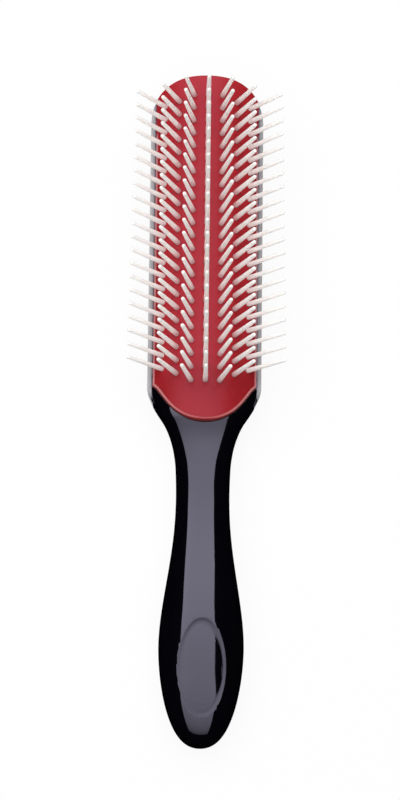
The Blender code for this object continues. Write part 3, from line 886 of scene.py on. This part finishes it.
@dataclass(frozen=True)
class HandleBody:
    """The one-piece handle: a tray-shaped head, a shoulder, a waisted neck and an oval grip."""

    fit: PadFit
    recess: Recess
    finish: GlossBlackFinish
    butt_y: float = -107.5 * MM
    shoulder_y: float = 6.0 * MM
    shoulder_blend: float = 19.0 * MM
    shoulder_crown: float = 17.5 * MM
    shoulder_shape: SmoothCurve = SmoothCurve(
        (
            (0.0, 1.0), (0.05, 0.965), (0.1, 0.9), (0.17, 0.78), (0.25, 0.605), (0.32, 0.44),
            (0.4, 0.3), (0.5, 0.175), (0.6, 0.09), (0.75, 0.025), (1.0, 0.0),
        )
    )
    shoulder_drop: SmoothCurve = SmoothCurve(
        (
            (0.0, 0.0), (0.294, 0.0), (0.347, 0.3), (0.412, 0.6), (0.485, 0.78),
            (0.618, 0.92), (0.765, 0.98), (1.0, 1.0),
        )
    )
    dome_break: float = 9.5 * MM
    dome_slopes: Pair = (0.245, 1.05)
    neck_y: float = -28.0 * MM
    neck_width: float = 16.7 * MM
    neck_bottom: float = 1.6 * MM
    neck_top: float = 15.0 * MM
    grip_y: float = -76.65 * MM
    grip_width: float = 26.4 * MM
    grip_top: float = 19.0 * MM
    grip_sink: float = 0.3 * MM
    grip_ease: float = 1.15
    back_squareness: float = 2.3
    top_squareness: SmoothCurve = SmoothCurve(
        (
            (-96 * MM, 2.45), (-84 * MM, 2.06), (-73 * MM, 2.03), (-65 * MM, 2.05), (-57 * MM, 2.2),
            (-50 * MM, 2.34), (-40 * MM, 2.44), (-32 * MM, 2.46), (-26 * MM, 2.4), (-18.7 * MM, 2.57),
            (-15 * MM, 2.88), (-11 * MM, 3.2), (-7 * MM, 3.4), (6 * MM, 3.4),
        )
    )
    butt_height: float = 9.0 * MM
    butt_taper: float = 1.8
    butt_round: float = 2.5
    butt_last: float = 0.04
    butt_flat: float = 0.6
    rim_corner: float = 0.55 * MM
    rim_lip: float = 1.4 * MM
    rim_least: float = 0.2
    rim_fade: float = 7.0 * MM
    side_height: float = 9.5 * MM
    back_sink: float = 0.35 * MM
    back_exponent: float = 2.6
    nose_length: float = 12.0 * MM
    nose_rise: float = 4.0 * MM
    seat_half: float = 16.6 * MM
    seat_z: float = 11.5 * MM
    lip_half: float = 15.7 * MM
    groove_floor: float = 8.6 * MM
    groove_top: float = 10.0 * MM
    trough_half: float = 15.0 * MM
    trough_foot: float = 0.7
    trough_rise: float = 0.75
    tip_wall_top: float = 8.0 * MM
    tip_wall: float = 6.0 * MM
    floor: float = 2.4 * MM
    rib_count: int = 5
    rib_thickness: float = 1.6 * MM
    rib_end_gap: float = 13.0 * MM
    rib_root: float = 0.7 * MM
    rib_radius: float = 20.0 * MM
    back_steps: int = 20
    corner_steps: int = 4
    dome_steps: int = 30
    tip_stations: int = 20
    head_stations: int = 12
    shoulder_stations: int = 30
    neck_stations: int = 12
    grip_stations: int = 30
    butt_stations: int = 30
    end_steps: int = 28
    tip_steps: int = 16
    trough_steps: int = 10
    rib_steps: int = 12
    sharp_from: float = 30.0

    def half_width(self, y: float) -> float:
        """Finds half the width of the handle seen from above.

        Args:
            y: The place along the brush.

        Returns:
            Half the width there.
        """
        if y >= self.shoulder_y:
            return self.fit.tip_half(y)
        if y >= self.neck_y:
            way = (self.shoulder_y - y) / (self.shoulder_y - self.neck_y)
            narrow = self.neck_width / 2
            return narrow + (self.fit.head_half - narrow) * self.shoulder_shape.at(way)
        if y >= self.grip_y:
            way = smoothstep(((self.neck_y - y) / (self.neck_y - self.grip_y)) ** self.grip_ease)
            return (self.neck_width + (self.grip_width - self.neck_width) * way) / 2
        return self.grip_width / 2 * self.butt_share(y)

    def butt_share(self, y: float) -> float:
        """How much of the grip's section is left where the butt is rounded."""
        way = min(max((self.grip_y - y) / (self.grip_y - self.butt_y), 0.0), 1.0)
        return max((1 - way**self.butt_taper) ** (1 / self.butt_round), self.butt_last)

    def heights(self, y: float) -> Pair:
        """Finds the lowest and highest point of the neck's and the grip's section.

        Args:
            y: The place along the brush.

        Returns:
            The lowest and the highest point.
        """
        to_neck = self.shoulder_drop.at((self.shoulder_y - y) / (self.shoulder_y - self.neck_y))
        to_grip = smoothstep((self.neck_y - y) / (self.neck_y - self.grip_y))
        low = self.neck_bottom * to_neck - (self.neck_bottom + self.grip_sink) * to_grip
        high = self.shoulder_crown + (self.neck_top - self.shoulder_crown) * to_neck
        high += (self.grip_top - self.neck_top) * to_grip
        if y < self.grip_y:
            share = self.butt_share(y) ** self.butt_flat
            low = self.butt_height + (low - self.butt_height) * share
            high = self.butt_height + (high - self.butt_height) * share
        return low, high

    def back_quarter(self, half: float, low: float, middle: float, exponent: float) -> list[Pair]:
        """Follows a section from its bottom out to its side.

        Args:
            half: Half the section's width.
            low: Its lowest point.
            middle: The height of its widest point.
            exponent: How square its corner is, 2 being an ellipse.

        Returns:
            Its points in X and Z.
        """
        power = 2 / exponent
        return [
            (half * math.sin(turn) ** power, middle - (middle - low) * max(math.cos(turn), 0.0) ** power)
            for turn in quarter_turns(self.back_steps)
        ]

    def dome_height(self, across: float) -> float:
        """Finds the height of the head's domed top.

        Args:
            across: The distance from the middle line where the head has its full width.

        Returns:
            The height there.
        """
        level, steep = self.dome_slopes
        inner, outer = min(across, self.dome_break), max(across - self.dome_break, 0.0)
        reach = self.fit.head_half - self.rim_lip - self.dome_break
        fall = level * inner**2 / (2 * self.dome_break) + level * outer
        return self.shoulder_crown - fall - (steep - level) * outer**2 / (2 * reach)

    def head_outline(self, y: float) -> list[Pair]:
        """Draws the right half of the head's section.

        Args:
            y: The place along the brush.

        Returns:
            Its points in X and Z, from the bottom to the crown.
        """
        half = self.half_width(y)
        nose = min(max((y - self.fit.tip_y) / self.nose_length + 1, 0.0), 1.0)
        low = -self.back_sink + self.nose_rise * (1 - math.sqrt(1 - nose * nose))
        points = self.back_quarter(half, low, self.side_height, self.back_exponent)
        corner = min(self.rim_corner, half / 4)
        lip = self.rim_lip * max(smoothstep((y - self.shoulder_y) / self.rim_fade + 1), self.rim_least)
        foot = half - min(lip, half / 2)
        spread = (self.fit.head_half - self.rim_lip) / foot if y > self.shoulder_y else 1.0
        rim = self.dome_height(foot * spread)
        for turn in quarter_turns(self.corner_steps):
            points.append((half - corner + corner * math.cos(turn), rim - corner + corner * math.sin(turn)))
        for turn in reversed(quarter_turns(self.dome_steps)):
            across = foot * math.sin(turn)
            points.append((across, self.dome_height(across * spread)))
        return points

    def oval_outline(self, y: float) -> list[Pair]:
        """Draws the right half of the neck's and the grip's section, with as many points as the head's.

        Args:
            y: The place along the brush.

        Returns:
            Its points in X and Z, from the bottom to the top.
        """
        low, high = self.heights(y)
        half, middle = self.half_width(y), (low + high) / 2
        points = self.back_quarter(half, low, middle, self.back_squareness)
        power = 2 / self.top_squareness.at(y)
        for turn in reversed(quarter_turns(self.corner_steps + self.dome_steps + 2)[:-1]):
            up = middle + (high - middle) * math.cos(turn) ** power
            points.append((half * math.sin(turn) ** power, up))
        return points

    def ring(self, y: float) -> Ring:
        """Draws the handle's whole section, flat where it would sink into the floor.

        Args:
            y: The place along the brush.

        Returns:
            Its points.
        """
        blend = smoothstep((self.shoulder_y - y) / self.shoulder_blend)
        half = []
        for (head_x, head_z), (oval_x, oval_z) in zip(self.head_outline(y), self.oval_outline(y)):
            across = head_x + (oval_x - head_x) * blend
            half.append((across, max(head_z + (oval_z - head_z) * blend, 0.0)))
        half[0] = (0.0, half[0][1])
        half[-1] = (0.0, half[-1][1])
        return [Vector((x, y, z)) for x, z in mirrored(half)]

    def stations(self) -> list[float]:
        """Spaces out the handle's sections along Y.

        Returns:
            The places from the tip to the butt.
        """
        length, power = self.fit.tip_length, 2 / self.fit.tip_exponent
        start, end = self.fit.tip_y - length, self.shoulder_y - self.shoulder_blend
        tip_turns, butt_turns = quarter_turns(self.tip_stations), quarter_turns(self.butt_stations)
        places = [start + length * math.sin(turn) ** power for turn in reversed(tip_turns)]
        places += evenly(start, self.shoulder_y, self.head_stations)
        places += evenly(self.shoulder_y, end, self.shoulder_stations)
        places += evenly(end, self.neck_y, self.neck_stations)
        places += evenly(self.neck_y, self.grip_y, self.grip_stations)
        drop = self.butt_y - self.grip_y
        return places + [self.grip_y + drop * math.sin(turn) for turn in butt_turns[1:-1]]

    def cut_channel(self, body: Piece) -> None:
        """Cuts the open slot that the pad's edges slide in.

        Args:
            body: The handle.
        """
        top = self.shoulder_crown + self.fit.beyond
        half = [
            (0.0, self.tip_wall_top), (self.trough_half, self.tip_wall_top),
            (self.trough_half, self.groove_floor), (self.seat_half, self.groove_floor),
            (self.seat_half, self.groove_top), (self.lip_half, self.groove_top),
            (self.lip_half, self.seat_z), (self.seat_half, self.seat_z), (self.seat_half, top), (0.0, top),
        ]
        channel = Bench.profile_bar("channel", mirrored(half), self.fit.tool_ends)
        far, open_end = self.fit.head_half + self.fit.beyond, self.fit.tool_ends[1] + MM
        plan = self.fit.end_line(self.fit.clearance, self.end_steps) + [(far, open_end), (-far, open_end)]
        Bench.trim(channel, plan, -self.fit.beyond, 2 * top)
        Bench.use(body, channel, Cut.REMOVE)

    def trough_outline(self, margin: float) -> list[Pair]:
        """Draws the right half of the tray's hollow.

        Args:
            margin: How far outside the hollow the line runs.

        Returns:
            Its points from the middle of the floor to the ledge.
        """
        ledge = self.groove_floor - self.fit.clearance
        low, depth = self.floor - margin, ledge - self.floor
        points = [(0.0, low)]
        for turn in quarter_turns(self.trough_steps):
            across = self.trough_foot + (1 - self.trough_foot) * math.sin(turn)
            up = self.trough_rise * (1 - math.cos(turn))
            points.append((self.trough_half * across + margin, low + depth * up))
        return points + [(self.trough_half + margin, ledge)]

    def cut_trough(self, body: Piece) -> None:
        """Hollows out the tray.

        Args:
            body: The handle.
        """
        half = self.trough_outline(0.0) + [(0.0, self.groove_floor)]
        trough = Bench.profile_bar("trough", mirrored(half), self.fit.tool_ends)
        plan = self.fit.end_line(self.fit.clearance, self.end_steps)
        plan += self.fit.tip_line(self.tip_wall, self.tip_steps)
        Bench.trim(trough, plan, -self.fit.beyond, self.grip_top)
        Bench.use(body, trough, Cut.REMOVE)

    def add_ribs(self, body: Piece) -> None:
        """Adds the arched ribs across the tray.

        Args:
            body: The handle.
        """
        arch_top = self.fit.arch_centre + math.sqrt(self.rib_radius**2 - self.trough_half**2)
        wall = [point for point in self.trough_outline(self.rib_root) if point[1] < arch_top - MM]
        half = wall + self.fit.arch_points(self.rib_radius, wall[-1][0], self.rib_steps)
        first = self.fit.tip_y - self.tip_wall - self.rib_end_gap
        last = self.fit.end_y + self.rib_end_gap
        for i in range(self.rib_count):
            middle = first + (last - first) * i / (self.rib_count - 1)
            ends = (middle - self.rib_thickness / 2, middle + self.rib_thickness / 2)
            Bench.use(body, Bench.profile_bar("rib", mirrored(half), ends), Cut.ADD)

    def grip_height(self, x: float, y: float) -> float:
        """Finds the height of the grip's top surface.

        Args:
            x: The place across the brush.
            y: The place along the brush.

        Returns:
            The height there.
        """
        low, high = self.heights(y)
        middle, power = (low + high) / 2, self.top_squareness.at(y)
        share = max(1 - abs(x / self.half_width(y)) ** power, 0.0) ** (1 / power)
        return middle + (high - middle) * share

    def recess_ring(self, inset: float, depth: float) -> Ring:
        """Draws an oval that follows the grip's surface.

        Args:
            inset: How far inside the recess's outline it runs.
            depth: How far below the grip's surface it runs.

        Returns:
            Its points.
        """
        points = []
        for turn in full_turns(self.recess.sides):
            x = (self.recess.width / 2 - inset) * math.cos(turn)
            y = self.recess.y + (self.recess.length / 2 - inset) * math.sin(turn)
            points.append(Vector((x, y, self.grip_height(x, y) - depth)))
        return points

    def cut_recess(self, body: Piece) -> None:
        """Sinks the recess into the grip, its floor following the grip's curve.

        Args:
            body: The handle.
        """
        rings = [self.recess_ring(inset, depth) for inset, depth in self.recess.wall]
        inset, depth = self.recess.wall[-1]
        insets = evenly(inset, self.recess.width / 2 - MM / 2, self.recess.floor_rings)
        rings += [self.recess_ring(step, depth) for step in insets]
        pole = Vector((0.0, self.recess.y, self.grip_height(0.0, self.recess.y) - depth))
        Bench.use(body, Bench.skin("recess", rings, pole), Cut.REMOVE)

    def build(self) -> Piece:
        """Models the handle and dresses it.

        Returns:
            The finished piece.
        """
        pole = Vector((0.0, self.butt_y, self.butt_height))
        body = Bench.skin("handle_moulding", [self.ring(y) for y in self.stations()], pole)
        self.cut_channel(body)
        self.cut_trough(body)
        self.add_ribs(body)
        self.cut_recess(body)
        Bench.clean(body)
        Bench.smooth(body, self.sharp_from)
        body.data.materials.append(self.finish.make())
        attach(body, "handle")
        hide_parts("handle")
        return body


@dataclass(frozen=True)
class PinRowLayout:
    """How the rows at one distance from the middle stand in the pad."""

    arc_from_middle: float
    pin_count: int
    pitch: float
    first_from_tip: float
    splay_degrees: Pair
    lean_degrees: float


@dataclass(frozen=True)
class PinField:
    """Where all seven rows of pins stand."""

    fit: PadFit
    layouts: tuple[PinRowLayout, ...] = (
        PinRowLayout(0.0, 23, 4.28 * MM, 6.4 * MM, (0.0, 0.0), -1.3),
        PinRowLayout(4.55 * MM, 23, 4.28 * MM, 6.4 * MM, (10.0, 10.5), -1.0),
        PinRowLayout(9.35 * MM, 22, 4.28 * MM, 8.35 * MM, (19.0, 20.0), -1.0),
        PinRowLayout(14.35 * MM, 21, 4.34 * MM, 9.45 * MM, (33.5, 40.5), 0.0),
    )

    def rows(self) -> range:
        """The rows by their place from the middle, left to right."""
        return range(1 - len(self.layouts), len(self.layouts))

    def turn(self, row: int) -> float:
        """Turn of a row about the arch's centre."""
        return math.copysign(self.layouts[abs(row)].arc_from_middle / self.fit.radius, row)

    def outwards(self, row: int) -> Vector:
        """Direction straight out of the pad at a row."""
        return Vector((math.sin(self.turn(row)), 0.0, math.cos(self.turn(row))))

    def pins(self, row: int) -> list[tuple[Vector, Vector]]:
        """Finds every pin of a row.

        Args:
            row: The row's place from the middle.

        Returns:
            Each pin's root on the pad and its direction, from the tip down.
        """
        layout = self.layouts[abs(row)]
        foot = Vector((0.0, 0.0, self.fit.arch_centre)) + self.outwards(row) * self.fit.radius
        first, last = layout.splay_degrees
        found = []
        for i in range(layout.pin_count):
            degrees = first + (last - first) * i / (layout.pin_count - 1)
            splay = math.copysign(math.radians(degrees), row) + math.radians(layout.lean_degrees)
            root = foot + Vector((0.0, self.fit.tip_y - layout.first_from_tip - i * layout.pitch, 0.0))
            found.append((root, Vector((math.sin(splay), 0.0, math.cos(splay)))))
        return found


@dataclass(frozen=True)
class CushionPad:
    """The half-round rubber pad: an arch with a rounded rim, gripping edges and a wall over the tip."""

    fit: PadFit
    field: PinField
    finish: RedRubberFinish
    thickness: float = 2.2 * MM
    wall_foot: float = 8.3 * MM
    inner_half: float = 14.0 * MM
    neck_half: float = 15.4 * MM
    flange_low: float = 8.9 * MM
    flange_top: float = 9.7 * MM
    edge_floor: float = 11.8 * MM
    edge_round: float = 0.35 * MM
    edge_steps: int = 4
    arch_steps: int = 26
    body_rings: int = 54
    end_steps: int = 30
    tip_steps: int = 20
    tip_wall: float = 2.0 * MM
    hollow_arch_steps: int = 20
    hollow_end_steps: int = 20
    hollow_tip_steps: int = 16
    bead: float = 0.5 * MM
    bead_sink: float = 0.06 * MM
    bead_past_tip: float = 2.0 * MM
    bead_fade: float = 7.0 * MM
    bead_least: float = 0.05
    bead_sides: int = 14
    bead_end_steps: int = 34
    bead_side_steps: int = 44
    hole: float = 0.98 * MM
    hole_sides: int = 14
    sharp_from: float = 35.0

    def section(self) -> list[Pair]:
        """Draws the pad's outside as one closed section.

        Returns:
            Its points in X and Z.
        """
        foot = self.inner_half - self.fit.clearance
        half = [(0.0, self.wall_foot), (foot, self.wall_foot), (foot, self.flange_low)]
        half += [(self.fit.half, self.flange_low), (self.fit.half, self.flange_top)]
        half += [(self.neck_half, self.flange_top), (self.neck_half, self.edge_floor)]
        for turn in quarter_turns(self.edge_steps):
            across = self.fit.half - self.edge_round * (1 - math.sin(turn))
            half.append((across, self.edge_floor + self.edge_round * (1 - math.cos(turn))))
        return mirrored(half + self.fit.arch_points(self.fit.radius, self.fit.half, self.arch_steps))

    def bead_path(self) -> list[tuple[Vector, float]]:
        """Follows the pad's rim down one side, round its lower end and up the other.

        Returns:
            Each point and the share of the bead's size there.
        """
        side, top = self.fit.half - self.bead, self.fit.tip_y - self.fit.tip_length + self.bead_past_tip
        steps = self.bead_end_steps
        ends = [self.fit.end_point(i / steps, -self.bead) for i in range(steps + 1)]
        right = [(x, y) for x, y in ends if x < side - self.bead / 2]
        corner_y = right[-1][1] + (side - right[-1][0])
        right += [(side, y) for y in [corner_y] + evenly(corner_y, top, self.bead_side_steps)]
        path = []
        for x, y in [(-x, y) for x, y in reversed(right[1:])] + right:
            share = smoothstep((top - y) / self.bead_fade)
            point = Vector((x, y, self.fit.arch_height(x)))
            outwards = Vector((x, 0.0, point.z - self.fit.arch_centre)).normalized()
            point -= outwards * (self.bead_sink + self.bead * (1 - share))
            path.append((point, max(share, self.bead_least)))
        return path

    def make_bead(self) -> Piece:
        """Makes the rounded rim.

        Returns:
            The rim as a closed tube.
        """
        path = self.bead_path()
        turns = full_turns(self.bead_sides)
        rings = []
        for i, (point, share) in enumerate(path):
            before, after = path[max(i - 1, 0)][0], path[min(i + 1, len(path) - 1)][0]
            along = (after - before).normalized()
            outwards = Vector((point.x, 0.0, point.z - self.fit.arch_centre))
            across = along.cross(outwards).normalized()
            up = across.cross(along)
            radius = self.bead * share
            rings.append([point + (across * math.cos(t) + up * math.sin(t)) * radius for t in turns])
        return Bench.skin("bead", rings)

    def make_holes(self) -> Piece:
        """Makes the tool that pierces the pad for its pins.

        Returns:
            All the holes' cutters as one body.
        """
        rings = upright_rings(((self.hole, -self.thickness - MM), (self.hole, MM)), self.hole_sides)
        places = [standing_at(*pin) for row in self.field.rows() for pin in self.field.pins(row)]
        return Bench.repeat("holes", Bench.skin("hole", rings), places)

    def make_hollow(self) -> Piece:
        """Makes the tool that hollows out the pad from below.

        Returns:
            The hollow as a body.
        """
        half = [(0.0, -MM), (self.inner_half, -MM)]
        inner_radius = self.fit.radius - self.thickness
        half += self.fit.arch_points(inner_radius, self.inner_half, self.hollow_arch_steps)
        low, high = self.fit.tool_ends
        hollow = Bench.profile_bar("hollow", mirrored(half), (low - MM, high))
        plan = self.fit.end_line(2 * self.fit.beyond, self.hollow_end_steps)
        plan += self.fit.tip_line(self.tip_wall, self.hollow_tip_steps)
        Bench.trim(hollow, plan, -2 * MM, 2 * self.fit.crown)
        return hollow

    def build(self) -> Piece:
        """Models the pad and dresses it.

        Returns:
            The finished piece.
        """
        low, high = self.fit.tool_ends
        body = Bench.profile_bar("rubber_pad", self.section(), [low] + evenly(low, high, self.body_rings))
        plan = self.fit.end_line(0.0, self.end_steps) + self.fit.tip_line(0.0, self.tip_steps)
        Bench.trim(body, plan, 0.0, 2 * self.fit.crown)
        Bench.use(body, self.make_hollow(), Cut.REMOVE)
        Bench.use(body, self.make_bead(), Cut.ADD)
        Bench.use(body, self.make_holes(), Cut.REMOVE)
        Bench.clean(body)
        Bench.smooth(body, self.sharp_from)
        body.data.materials.append(self.finish.make())
        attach(body, "pad")
        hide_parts("cushion_pad")
        return body


@dataclass(frozen=True)
class PinRow:
    """One row of nylon pins on the carrier strip that it is moulded with."""

    field: PinField
    row: int
    number: int
    length: float = 17.0 * MM
    base: float = 0.85 * MM
    tip: float = 0.62 * MM
    slim_share: float = 0.35
    tip_shape: tuple[Pair, ...] = ((0.82, 0.55), (0.42, 0.9))
    sink: float = 3.2 * MM
    strip_width: float = 2.4 * MM
    strip_thickness: float = 1.4 * MM
    strip_top: float = 22.9 * MM
    strip_margin: float = 2.2 * MM
    strip_round: float = 0.3 * MM
    round_steps: int = 3
    sides: int = 8
    sharp_from: float = 50.0

    def make_pin(self) -> Piece:
        """Models one pin upright at the origin.

        Returns:
            The pin.
        """
        neck = self.length - self.tip
        slim = self.tip + (self.base - self.tip) * self.slim_share
        profile = [(self.base, -self.sink), (self.base, 0.0), (slim, neck / 2), (self.tip, neck)]
        profile += [(self.tip * across, neck + self.tip * up) for across, up in self.tip_shape]
        return Bench.skin("pin", upright_rings(profile, self.sides), Vector((0.0, 0.0, self.length)))

    def make_strip(self) -> Piece:
        """Models the strip that the row's pins stand on.

        Returns:
            The strip.
        """
        pins = self.field.pins(self.row)
        first, last = pins[0][0].y, pins[-1][0].y
        middle = Vector((0.0, (first + last) / 2, self.field.fit.arch_centre))
        middle += self.field.outwards(self.row) * (self.strip_top - self.strip_thickness / 2)
        length = first - last + 2 * self.strip_margin
        Bench.put_down()
        bpy.ops.mesh.primitive_cube_add(size=1.0)
        strip = bpy.context.object
        size = Matrix.Diagonal((self.strip_width, length, self.strip_thickness, 1.0))
        turn = Matrix.Rotation(self.field.turn(self.row), 4, "Y")
        strip.data.transform(Matrix.Translation(middle) @ turn @ size)
        Bench.open(strip)
        bpy.ops.mesh.bevel(offset=self.strip_round, segments=self.round_steps, affect="EDGES")
        Bench.put_down()
        return strip

    def build(self, material: bpy.types.Material) -> Piece:
        """Models the row and dresses it.

        Args:
            material: The nylon that all rows share.

        Returns:
            The finished piece.
        """
        places = [standing_at(*pin) for pin in self.field.pins(self.row)]
        row = Bench.repeat(f"nylon_pins_{self.number}", self.make_pin(), places, [self.make_strip()])
        Bench.smooth(row, self.sharp_from)
        row.data.materials.append(material)
        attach(row, f"pins_{self.number}")
        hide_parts(f"pin_row_{self.number}")
        return row


@dataclass(frozen=True)
class PhotoCamera:
    """The camera that the photograph was taken with, as worked out from the rows of pins."""

    tilt: float = 15.1
    yaw: float = 1.9
    roll: float = 0.68
    distance: float = 1.2
    focal_pixels: float = 3797.9
    middle_pixels: Pair = (202.7, 416.5)
    frame_pixels: Pair = (400.0, 800.0)
    film: float = 36.0
    clip: Pair = (0.05, 20.0)

    def build(self) -> None:
        """Sets up the camera and makes it the scene's."""
        tilt, yaw, roll = (math.radians(turn) for turn in (self.tilt, self.yaw, self.roll))
        back = Vector((-math.sin(yaw), -math.sin(tilt) * math.cos(yaw), math.cos(tilt) * math.cos(yaw)))
        right = Vector((0.0, 1.0, 0.0)).cross(back).normalized()
        up = back.cross(right)
        level = math.cos(roll) * right + math.sin(roll) * up
        steep = math.cos(roll) * up - math.sin(roll) * right
        data = bpy.data.cameras.new("photo_camera")
        camera = bpy.data.objects.new("photo_camera", data)
        bpy.context.scene.collection.objects.link(camera)
        turn = Matrix((level, steep, back)).transposed()
        camera.matrix_world = Matrix.Translation(back * self.distance) @ turn.to_4x4()
        width, height = self.frame_pixels
        data.sensor_fit = "VERTICAL"
        data.sensor_height = self.film
        data.lens = self.focal_pixels * self.film / height
        data.shift_x = -(self.middle_pixels[0] - width / 2) / height
        data.shift_y = (self.middle_pixels[1] - height / 2) / height
        data.clip_start, data.clip_end = self.clip
        bpy.context.scene.camera = camera


@dataclass(frozen=True)
class Studio:
    """A wide overhead softbox that dims towards the butt, black cards and a white floor."""

    box_height: float = 1.0
    box_left_turn: float = 43.5
    box_right_turn: float = 27.5
    box_near: float = -1.1
    box_far: float = 0.72
    box_radiance: float = 4.05
    box_near_share: float = 0.15
    fill: float = 0.2
    floor_size: float = 12.0
    floor_sink: float = 0.02 * MM
    floor_whites: tuple[Triple, Triple] = ((0.80, 0.80, 0.80), (0.82, 0.82, 0.82))
    floor_cloud: NoisePattern = NoisePattern(6.0)
    floor_roughness: float = 0.9
    shadow_share: float = 0.08
    butt_y: float = -0.105
    shine_height: float = 18.0 * MM
    card_blacks: tuple[Triple, Triple] = ((0.0, 0.0, 0.0), (0.002, 0.002, 0.002))
    card_cloud: NoisePattern = NoisePattern(12.0)
    card_roughness: float = 1.0
    card_away: float = 0.3
    card_length: float = 2.4
    card_floor: float = 0.05 * MM
    card_end: float = 2.0 * MM
    card_middle: float = 0.07

    def make_plane(self, name: str, size: Pair, middle: Triple, stand: Stand = Stand.LYING) -> Piece:
        """Adds a flat stage piece.

        Args:
            name: Its name.
            size: Its size along its own X and Y.
            middle: Where its middle goes.
            stand: How it stands.

        Returns:
            The plane.
        """
        Bench.put_down()
        bpy.ops.mesh.primitive_plane_add(size=1.0)
        plane = bpy.context.object
        plane.name = name
        plane.data.transform(Matrix.Translation(middle) @ stand.value @ Matrix.Diagonal((*size, 1.0, 1.0)))
        return plane

    def make_softbox(self) -> None:
        """Hangs the glowing panel over the brush, unseen by the camera."""
        rise = self.box_height - self.shine_height
        left = -rise * math.tan(math.radians(self.box_left_turn))
        right = rise * math.tan(math.radians(self.box_right_turn))
        size = (right - left, self.box_far - self.box_near)
        middle = ((left + right) / 2, (self.box_near + self.box_far) / 2, self.box_height)
        panel = self.make_plane("softbox", size, middle)
        desk = NodeDesk(bpy.data.materials.new("softbox_glow"))
        strengths = (self.box_near_share * self.box_radiance, self.box_radiance)
        glow = desk.node("Emission")
        desk.fill(glow, {"Strength": desk.span(desk.axes()[1], (self.box_near, self.box_far), strengths)})
        desk.show(glow.outputs["Emission"])
        panel.data.materials.append(desk.owner)
        panel.visible_camera = False

    def make_world(self) -> None:
        """Makes the world white where it is seen and a soft fill elsewhere."""
        world = bpy.data.worlds.new("studio")
        desk = NodeDesk(world)
        strength = desk.span(desk.seen_share(), (0.0, 1.0), (self.fill, 1.0))
        white = (1.0, 1.0, 1.0, 1.0)
        desk.fill(desk.tree.nodes["Background"], {"Color": white, "Strength": strength})
        bpy.context.scene.world = world

    def make_matt(self, name: str, colours: Sequence[Triple], cloud: NoisePattern, rough: float) -> NodeDesk:
        """Lays out a matt material with a faint cloud and no shine.

        Args:
            name: Its name.
            colours: Its two colours.
            cloud: How they are mixed.
            rough: Its roughness.

        Returns:
            The desk with the material.
        """
        desk = NodeDesk(bpy.data.materials.new(name))
        desk.fill(desk.shader, {
            "Base Color": desk.tint(desk.noise(cloud), *colours),
            "Roughness": rough,
            "Specular IOR Level": 0.0,
        })
        return desk

    def make_floor(self) -> None:
        """Lays the white floor, which keeps a faint shadow of the brush."""
        floor = self.make_plane("floor", (self.floor_size, self.floor_size), (0.0, 0.0, -self.floor_sink))
        desk = self.make_matt("white_floor", self.floor_whites, self.floor_cloud, self.floor_roughness)
        glow = desk.node("Emission")
        mix = desk.node("MixShader")
        desk.link(desk.combine(desk.seen_share(), 1.0 - self.shadow_share), mix.inputs["Fac"])
        desk.link(desk.shader.outputs["BSDF"], mix.inputs[1])
        desk.link(glow.outputs["Emission"], mix.inputs[2])
        desk.show(mix.outputs["Shader"])
        floor.data.materials.append(desk.owner)

    def make_cards(self) -> None:
        """Stands black cards round the brush and lays others beside it, seen in its gloss alone."""
        desk = self.make_matt("black_card", self.card_blacks, self.card_cloud, self.card_roughness)
        away, shine = self.card_away, self.shine_height
        near = shine + away * (self.box_height - shine) / (self.butt_y - self.box_near)
        wing = away - self.card_middle
        strip, strip_middle = (2 * self.card_middle, 2 * away), (0.0, self.card_end - away, self.card_floor)
        near_middle = (0.0, self.butt_y - away, near / 2)
        cards = [
            self.make_plane("card_near", (self.card_length, near), near_middle, Stand.ACROSS),
            self.make_plane("card_floor", strip, strip_middle),
        ]
        for side, turn in ((Side.LEFT, self.box_left_turn), (Side.RIGHT, self.box_right_turn)):
            name, sign = side.name.lower(), side.value
            high = shine + away / math.tan(math.radians(turn))
            size, middle = (high, self.card_length), (sign * away, 0.0, high / 2)
            cards.append(self.make_plane(f"card_{name}", size, middle, Stand.ALONG))
            middle = (sign * (self.card_middle + wing / 2), self.card_end - away / 2, self.card_floor)
            cards.append(self.make_plane(f"card_floor_{name}", (wing, 3 * away), middle))
        for card in cards:
            card.data.materials.append(desk.owner)
            card.visible_camera = False
            card.visible_diffuse = False
            card.visible_transmission = False
            card.visible_shadow = False

    def build(self) -> None:
        """Sets up the whole studio."""
        self.make_softbox()
        self.make_world()
        self.make_floor()
        self.make_cards()


@dataclass(frozen=True)
class StylingBrush:
    """The whole brush: its handle, its pad and its seven rows of pins."""

    fit: PadFit = PadFit()
    recess: Recess = Recess()

    def build(self) -> Iterator[Piece]:
        """Builds the pieces in order.

        Returns:
            The finished pieces, each as soon as it is built.
        """
        yield HandleBody(self.fit, self.recess, GlossBlackFinish(self.recess)).build()
        pins = PinField(self.fit)
        yield CushionPad(self.fit, pins, RedRubberFinish(self.fit)).build()
        nylon = WhiteNylonFinish(self.fit).make()
        for number, row in enumerate(pins.rows(), start=1):
            yield PinRow(pins, row, number).build(nylon)


def main() -> None:
    """Loads the CAD frame, lights it, and builds the brush over it piece by piece."""
    logging.basicConfig(level=logging.INFO, format="%(name)s %(message)s")
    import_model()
    bpy.context.scene.view_settings.view_transform = "Standard"
    PhotoCamera().build()
    Studio().build()
    for piece in StylingBrush().build():
        triangles = sum(len(face.vertices) - 2 for face in piece.data.polygons)
        LOG.info("%s: %d triangles", piece.name, triangles)
    Bench.put_down()


if __name__ == "__main__":
    main()
